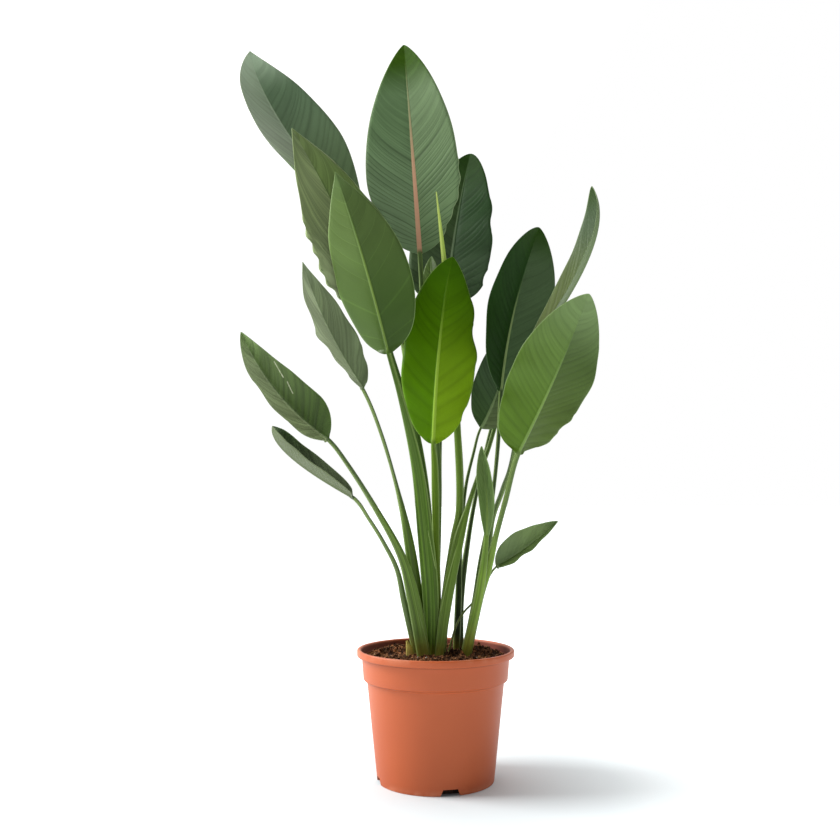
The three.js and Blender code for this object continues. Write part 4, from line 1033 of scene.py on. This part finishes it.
# %% Pot sizes and profile
POT_HEIGHT = 170
RIM_RADIUS = 104.8
LIP_HEIGHT = 9.5
LIP_FOOT = POT_HEIGHT - LIP_HEIGHT
LIP_THICKNESS = 5
COLLAR_TOP_RADIUS = 98.5
COLLAR_FOOT_RADIUS = 96
COLLAR_FOOT = 131
BODY_TOP_RADIUS = 91.6
BASE_RADIUS = 77.6
WALL = 2.2
FLOOR_THICKNESS = 2.6
POT_SIDES = 256
LONGEST_STEP = 12  # between points on the long straight stretches of the profile
SHARP_ANGLE = 40  # degrees: a steeper edge than this is shaded as an edge
NOTCH_COUNT, NOTCH_FIRST = 4, -77  # how many, and the direction of the first in degrees
NOTCH_WIDTH, NOTCH_TOP_WIDTH, NOTCH_HEIGHT, NOTCH_DEPTH = 26, 19, 8.5, 14


def wall_radius(z):
    """Outer radius of the wall: a straight taper up to the collar, and a slighter one above it."""
    if z < COLLAR_FOOT:
        return mix(BASE_RADIUS, BODY_TOP_RADIUS, z / COLLAR_FOOT)
    return mix(COLLAR_FOOT_RADIUS, COLLAR_TOP_RADIUS, (z - COLLAR_FOOT) / (LIP_FOOT - COLLAR_FOOT))


# radius, height and the radius of the round at each corner of the profile, from the base's middle
POT_PROFILE = [
    (BASE_RADIUS - 0.4, 0, 1.2), (wall_radius(COLLAR_FOOT - 2), COLLAR_FOOT - 2, 0.8),
    (COLLAR_FOOT_RADIUS + 0.05, COLLAR_FOOT, 1.1), (COLLAR_TOP_RADIUS, LIP_FOOT, 0.9),
    (RIM_RADIUS, LIP_FOOT + 0.6, 1.5), (RIM_RADIUS, POT_HEIGHT, 2.2),
    (RIM_RADIUS - LIP_THICKNESS, POT_HEIGHT, 2.2), (COLLAR_TOP_RADIUS - WALL, LIP_FOOT - 2, 2),
    (COLLAR_FOOT_RADIUS - WALL, COLLAR_FOOT + 2.2, 1.5),
    (wall_radius(COLLAR_FOOT - 2) - WALL, COLLAR_FOOT - 1.2, 1.5),
    (wall_radius(FLOOR_THICKNESS) - WALL, FLOOR_THICKNESS, 2),
]


def rounded(corners, steps=5):
    """The profile with each corner replaced by an arc-like curve: a parabola that touches both sides."""
    points = np.array([(r, z) for r, z, _ in corners], float)
    rounds = np.array([size for _, _, size in corners])
    before = np.vstack([[0, points[0, 1]], points[:-1]])
    after = np.vstack([points[1:], [0, points[-1, 1]]])
    start = points + unit(before - points) * rounds[:, None]
    end = points + unit(after - points) * rounds[:, None]
    f = np.linspace(0, 1, steps)[None, :, None]
    curve = start[:, None] * (1 - f) ** 2 + 2 * points[:, None] * f * (1 - f) + end[:, None] * f**2
    return curve.reshape(-1, 2)


def turned(name, profile, sides):
    """A profile that starts and ends near the axis, turned round it, with a small cap at each end."""
    turn = circle(sides)
    ring = np.stack([np.cos(turn), np.sin(turn)], -1)
    radius, height = profile[:, 0, None], profile[:, 1, None] + 0 * turn
    rings = np.concatenate([radius[..., None] * ring, height[..., None]], -1)
    return new_piece(name, rings.reshape(-1, 3), skin_faces(len(profile), sides))


def long_edges_split(profile, longest):
    """The profile with points added on its long straight stretches."""
    pieces = [profile[:1]]
    for a, b in zip(profile[:-1], profile[1:]):
        count = max(1, int(np.ceil(np.linalg.norm(b - a) / longest)))
        pieces.append(a + (b - a) * (np.arange(1, count + 1) / count)[:, None])
    return np.vstack(pieces)


# %% Cut the notches
def wedge(turn):
    """A notch cutter: a trapezoid across the wall, pushed in from outside by the notch's depth. It
    stands past the foot and the wall, so that it cuts them clean."""
    past = 8
    half_foot, half_top = NOTCH_WIDTH / 2, NOTCH_TOP_WIDTH / 2
    below = half_foot + (half_foot - half_top) * past / NOTCH_HEIGHT
    top = NOTCH_HEIGHT
    outline = np.array([(-below, -past), (below, -past), (half_top, top), (-half_top, top)])
    near, far = BASE_RADIUS - NOTCH_DEPTH, BASE_RADIUS + past
    points = np.array([(x, y, z) for x in (near, far) for y, z in outline], float)
    c, s = np.cos(turn), np.sin(turn)
    points[:, :2] = points[:, :2] @ np.array([[c, s], [-s, c]])
    faces = np.array([(3, 2, 1, 0), (4, 5, 6, 7), (0, 1, 5, 4), (1, 2, 6, 5), (2, 3, 7, 6), (3, 0, 4, 7)])
    return new_piece("wedge", points, faces, smooth=False)


profile = long_edges_split(rounded(POT_PROFILE), LONGEST_STEP)
pot = turned("nursery_pot", np.vstack([[0.5, 0], profile, [0.5, FLOOR_THICKNESS]]), POT_SIDES)
wedges = [wedge(math.radians(NOTCH_FIRST + i * 360 / NOTCH_COUNT)) for i in range(NOTCH_COUNT)]
for cutter in wedges:
    cut = pot.modifiers.new("notch", "BOOLEAN")
    cut.object, cut.operation, cut.solver = cutter, "DIFFERENCE", "EXACT"
shaped = bpy.data.meshes.new_from_object(pot.evaluated_get(bpy.context.evaluated_depsgraph_get()))
pot.modifiers.clear()
pot.data = shaped
for cutter in wedges:
    bpy.data.objects.remove(cutter)
shaped.shade_smooth()
shaped.set_sharp_from_angle(angle=math.radians(SHARP_ANGLE))
print("pot faces:", len(shaped.polygons))

# %% [markdown]
# The pot's plastic is matte and even, with a slight orange-peel from the mould, faint rings where the wall
# was drawn off its core, and a scuffed, dustier lip and foot. The tone is nearly uniform, so most of its
# shading comes from the light. Painted shade adds the rest: a deep reddish brown on the inner wall above
# the soil, and thin dark lines just under the lip and under the step of the collar.


# %% Pot finish
def make_wear_group():
    """Worn: patchy dust and scuffs, strongest near two heights, from 0 to 1."""
    group, given, result = new_group(
        "scuffs", "Worn", Height=0.0, Low=0.01, High=0.16, Band=0.008, Strength=1.0)
    patches = noise(group, add(group, "ShaderNodeTexCoord").outputs["Object"], 45.0, 4.0)
    low_end = plus(group, given["Low"], given["Band"])
    near_foot = ramp(group, given["Height"], given["Low"], low_end, 1.0, 0.0)
    high_start = minus(group, given["High"], given["Band"])
    near_lip = ramp(group, given["Height"], high_start, given["High"])
    bands = plus(group, near_foot, near_lip)
    group.links.new(times(group, bands, ramp(group, patches, 0.4, 0.65), given["Strength"]), result)
    return group


SCUFFS = make_wear_group()
material, tree, shader = new_finish("terracotta plastic", 0.5, gloss=0.4)
where, axes = object_place(tree)
tone = blend(tree, noise(tree, where, 9.0, 3.0), colour(181, 83, 40), colour(194, 94, 46))
worn = use_group(tree, SCUFFS, Height=axes["Z"], Low=0.0, High=0.171, Band=0.01, Strength=0.35)["Worn"]
tone = blend(tree, worn, tone, colour(222, 150, 116))
reach = math_node(tree, "SQRT", plus(tree, *(math_node(tree, "POWER", axes[k], 2.0) for k in "XY")))
# painted shade: the inner wall above the soil is darkened to a deep reddish brown, and made rougher
shaded_inner_wall = times(tree, ramp(tree, reach, 0.0998, 0.102, 1.0, 0.0), ramp(tree, axes["Z"], 0.160, 0.161),
               ramp(tree, axes["Z"], 0.166, 0.170, 0.95, 0.0))
tone = blend(tree, shaded_inner_wall, tone, colour(104, 40, 20))
# painted shade: a thin dark line just under the lip and under the collar's step, where they shadow the
# wall
for shaded_crease, share in ((LIP_FOOT, 0.62), (COLLAR_FOOT, 0.8)):
    below = minus(tree, shaded_crease * MM, axes["Z"])
    line = times(tree, ramp(tree, below, -0.0004, 0.0), ramp(tree, below, 0.0, 0.003, 1.0, 0.0))
    tone = tinted(tree, tone, line, share)
tree.links.new(tone, shader.inputs["Base Color"])
rough = plus(tree, ramp(tree, worn, 0.0, 1.0, 0.48, 0.7), times(tree, shaded_inner_wall, 0.3))
tree.links.new(rough, shader.inputs["Roughness"])
grain, drawn = noise(tree, where, 900.0, 2.0), noise(tree, where, (2, 2, 260), 2.0)
set_bump(tree, shader, plus(tree, times(tree, grain, 0.4), drawn), 0.12, 0.0005)
pot.data.materials.append(material)
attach(pot, "root")
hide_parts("pot")

# %% [markdown]
# ## The soil
# Potting soil is a mix of peat, bark and grit. The bed is one closed lump: its side follows the pot's
# wall, and its top is a grid of rings lifted by random bumps. Loose crumbs and clods, white grains of
# perlite, bits of bark and bits of straw lie on it. Each kind is one mesh of many small shapes, placed by
# a seeded draw, all worked out in one array.

# %% Soil bed
SOIL_EDGE, SOIL_CROWN = 159, 163.5
SOIL_RINGS, SOIL_SIDES = 90, 260
SOIL_GAP = 0.3  # between the soil and the pot's wall
BUMP_LENGTHS = np.geomspace(28, 2.6, 60)


def soil_height(x, y):
    """Top of the soil: a crown that falls off to the edge, a low heap at the back, and random bumps and
    clods, where a second field of bumps is squared. All of it runs out flat at the wall."""
    radius = np.hypot(x, y)
    crown = np.interp(radius, [0, 50, 88, 96], [SOIL_CROWN, SOIL_CROWN - 1, SOIL_EDGE + 0.8, SOIL_EDGE])
    bumps = wave_field(x, y, BUMP_LENGTHS, seed=5)
    clods = np.maximum(0, wave_field(x, y, np.geomspace(22, 9, 16), seed=8)) ** 2
    heap = 2.2 * smoothstep(y, 0, 50)
    return crown + (0.9 * bumps + 0.8 * clods + heap - 1.2) * (1 - smoothstep(radius, 88, 95.5))


soil_rim = wall_radius(SOIL_EDGE) - WALL - SOIL_GAP
turn = circle(SOIL_SIDES)
radius = soil_rim * np.linspace(1, 0.002, SOIL_RINGS)[:, None]
x, y = radius * np.cos(turn), radius * np.sin(turn)
top = np.stack([x, y, soil_height(x, y)], -1)
side_profile = np.array([(wall_radius(3) - WALL - SOIL_GAP, 2.9), (wall_radius(129) - WALL - 0.4, 129),
                         (COLLAR_FOOT_RADIUS - WALL - 0.4, COLLAR_FOOT + 2.7)])
base = np.stack([0.2 * np.cos(turn), 0.2 * np.sin(turn), 0 * turn + 2.9], -1)[None]
side = np.stack([side_profile[:, :1] * np.cos(turn), side_profile[:, :1] * np.sin(turn),
                 side_profile[:, 1:] + 0 * turn], -1)
rings = np.concatenate([base, side, top])
soil = new_piece("soil_bed", rings.reshape(-1, 3), skin_faces(len(rings), SOIL_SIDES))
print("soil from", round(top[..., 2].min(), 1), "to", round(top[..., 2].max(), 1), "mm high")


# %% Soil finish
def soil_finish(name, dark, light, roughness):
    """Damp crumbly matter: two tones in grains, darker in patches, and darker towards the pot's floor as
    painted shade for the drain notches, with fine bumps."""
    material, tree, shader = new_finish(name, roughness, gloss=0.15)
    where, axes = object_place(tree)
    grains = noise(tree, where, 260.0, 5.0)
    tone = blend(tree, ramp(tree, grains, 0.42, 0.7), dark, light)
    tone = tinted(tree, tone, ramp(tree, noise(tree, where, 55.0, 2.0), 0.62, 0.38), 0.45)
    # painted shade: darker towards the pot's floor, where the soil shows in the drain notches
    tone = tinted(tree, tone, ramp(tree, axes["Z"], 0.12, 0.02), 0.12)
    tree.links.new(tone, shader.inputs["Base Color"])
    set_bump(tree, shader, grains, 0.9, 0.001)
    return material


soil.data.materials.append(soil_finish("soil", colour(72, 42, 25), colour(172, 112, 68), 0.95))
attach(soil, "root")
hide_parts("soil")


# %% [markdown]
# A crumb is an icosahedron with its corners pushed in and out at random. The same trick, stretched
# long, gives bark and straw, and with more corners and a gentler push it gives perlite.


# %% Scatter on the soil
def icosahedron(detail):
    """Corners and faces of a small ball of triangles: an icosahedron at 1, and finer at 2."""
    ball = bmesh.new()
    bmesh.ops.create_icosphere(ball, subdivisions=detail, radius=1)
    points = np.array([v.co for v in ball.verts])
    faces = np.array([[v.index for v in f.verts] for f in ball.faces])
    ball.free()
    return points, faces


def turns(draw, count, tilt):
    """Turning matrices: a free turn about the vertical, after a lean of at most tilt in radians."""
    spin = draw.uniform(0, 2 * np.pi, count)
    lean = draw.uniform(-tilt, tilt, count)
    way = draw.uniform(0, 2 * np.pi, count)
    axis = np.stack([np.cos(way), np.sin(way), 0 * way], -1)
    c, s = np.cos(lean)[:, None, None], np.sin(lean)[:, None, None]
    cross = np.zeros((count, 3, 3))
    cross[:, 0, 2], cross[:, 1, 2] = axis[:, 1], -axis[:, 0]
    cross[:, 2, 0], cross[:, 2, 1] = -axis[:, 1], axis[:, 0]
    leaning = c * np.eye(3) + s * cross + (1 - c) * axis[:, :, None] * axis[:, None, :]
    about = np.zeros((count, 3, 3))
    about[:, 0, 0] = about[:, 1, 1] = np.cos(spin)
    about[:, 0, 1], about[:, 1, 0] = -np.sin(spin), np.sin(spin)
    about[:, 2, 2] = 1
    return leaning @ about


def scatter(name, count, sizes, rough, sink, tilt, seed, reach, detail=1, way=(0, 360), first=()):
    """Many small lumps on the soil: each is a ball of triangles with its corners pushed at random by
    `rough`, scaled by `sizes` (three ranges), turned, and sunk into the soil by a share of its height.
    They lie between two radii and two directions in degrees, and the first ones at given places."""
    draw = np.random.default_rng(seed)
    points, faces = icosahedron(detail)
    radius = np.sqrt(draw.uniform(reach[0] ** 2, reach[1] ** 2, count))
    turn = np.radians(draw.uniform(*way, count))
    places = np.stack([radius * np.cos(turn), radius * np.sin(turn)], -1)
    places[:len(first)] = np.array(first).reshape(-1, 2)
    scale = np.stack([draw.uniform(low, high, count) for low, high in sizes], -1)
    push = 1 + rough * draw.uniform(-1, 1, (count, len(points), 1))
    lumps = points[None] * push * scale[:, None]
    lumps = np.einsum("nij,nkj->nki", turns(draw, count, tilt), lumps)
    height = soil_height(places[:, 0], places[:, 1]) + scale[:, 2] * (1 - sink)
    lumps += np.concatenate([places, height[:, None]], -1)[:, None]
    all_faces = faces[None] + (np.arange(count) * len(points))[:, None, None]
    piece = new_piece(name, lumps.reshape(-1, 3), all_faces.reshape(-1, 3), smooth=detail > 1)
    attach(piece, "root")
    return piece


LITTER = {
    "crumbs": dict(count=4600, sizes=[(0.6, 2.2), (0.6, 1.9), (0.5, 1.5)], rough=0.35, sink=0.3, tilt=1.2,
                   seed=21, reach=(0, 93.5)),
    "clods": dict(count=260, sizes=[(1.4, 3.8), (1.2, 3.2), (1, 2.8)], rough=0.45, sink=0.25, tilt=1.5,
                  seed=31, reach=(45, 90), way=(-15, 190)),
    "bark": dict(count=150, sizes=[(2, 4.6), (1.2, 2.6), (0.7, 1.4)], rough=0.25, sink=0.3, tilt=0.5,
                 seed=22, reach=(0, 89)),
    "perlite": dict(count=14, sizes=[(0.9, 1.7), (0.9, 1.5), (0.8, 1.3)], rough=0.18, sink=0.3, tilt=1.5,
                    seed=23, reach=(0, 90), detail=2, first=[(-22.8, -30)]),
    "straw": dict(count=70, sizes=[(3, 9), (0.35, 0.6), (0.3, 0.5)], rough=0.12, sink=-0.8, tilt=0.35,
                  seed=24, reach=(0, 86)),
}
LITTER_TONES = {  # the dark and the light tone, and the roughness
    "crumbs": ((74, 46, 28), (206, 146, 98), 0.95),
    "clods": ((60, 34, 20), (152, 96, 58), 0.95),
    "bark": ((76, 45, 28), (174, 122, 82), 0.85),
    "perlite": ((214, 206, 190), (246, 242, 234), 0.9),
    "straw": ((168, 122, 86), (220, 180, 140), 0.7),
}
for name, kind in LITTER.items():
    dark, light, roughness = LITTER_TONES[name]
    litter = scatter(f"soil_{name}", **kind)
    litter.data.materials.append(soil_finish(name, colour(*dark), colour(*light), roughness))
    print(litter.name, kind["count"])

# %% [markdown]
# ## Floor, backdrop and light
# The plant stands in a white studio, as for a catalogue. A large soft box at its left gives one soft
# shadow to the right and rakes over the leaves, so that their corrugation shows. The room is white
# behind and dim in front, where the photographer stands, so dark leaves keep their depth and the pot
# gets a pale edge on both sides. The floor is lit from below away from the pot, like a light table,
# so that it runs into the white of the backdrop without an edge.

# %% Floor
FLOOR_SIZE = 60_000  # half its width
points = np.array([(-1, -1, 0), (1, -1, 0), (1, 1, 0), (-1, 1, 0)], float) * FLOOR_SIZE
floor = new_piece("floor", points, np.array([(0, 1, 2, 3)]), smooth=False)
material, tree, shader = new_finish("pale floor", 0.9)
shader.inputs["Base Color"].default_value = (0.74, 0.8, 0.82, 1)
shader.inputs["Specular IOR Level"].default_value = 0.0
shader.inputs["Emission Color"].default_value = (1, 1, 1, 1)
where = add(tree, "ShaderNodeTexCoord").outputs["Object"]
away = add(tree, "ShaderNodeVectorMath", {0: where}, operation="LENGTH").outputs["Value"]
tree.links.new(ramp(tree, away, 0.08, 0.6, 0.02, 0.75), shader.inputs["Emission Strength"])
floor.data.materials.append(material)
print("floor:", round(2 * FLOOR_SIZE * MM), "m wide")


# %% Lights
def soft_box(name, place, target, size, power):
    """A square area light at a place, turned to look at the target."""
    data = bpy.data.lights.new(name, "AREA")
    data.size = size
    data.energy = power
    light = bpy.data.objects.new(name, data)
    light.location = place
    x, y, z = np.array(target) - np.array(place)
    light.rotation_euler = (math.atan2(math.hypot(x, y), -z), 0, math.atan2(y, x) - math.pi / 2)
    bpy.context.scene.collection.objects.link(light)


soft_box("left soft box", place=(-2.2, 0.1, 1.9), target=(0, 0, 0.3), size=1.3, power=87)

world = bpy.data.worlds.new("white room")
world.use_nodes = True
tree = world.node_tree
way = add(tree, "ShaderNodeTexCoord").outputs["Generated"]
way = add(tree, "ShaderNodeSeparateXYZ", {0: way}).outputs
room = times(tree, ramp(tree, way["Y"], -0.6, 0.6, 0.22, 1.0), ramp(tree, way["X"], -0.4, 0.6, 1.12, 0.62),
             ramp(tree, way["Z"], 0.0, 1.0, 1.0, 1.6))
seen = add(tree, "ShaderNodeLightPath").outputs["Is Camera Ray"]
strength = math_node(tree, "MAXIMUM", room, seen)
tree.links.new(strength, tree.nodes["Background"].inputs["Strength"])
tree.nodes["Background"].inputs["Color"].default_value = (1, 1, 1, 1)
bpy.context.scene.world = world
print("lights:", len(bpy.data.lights))
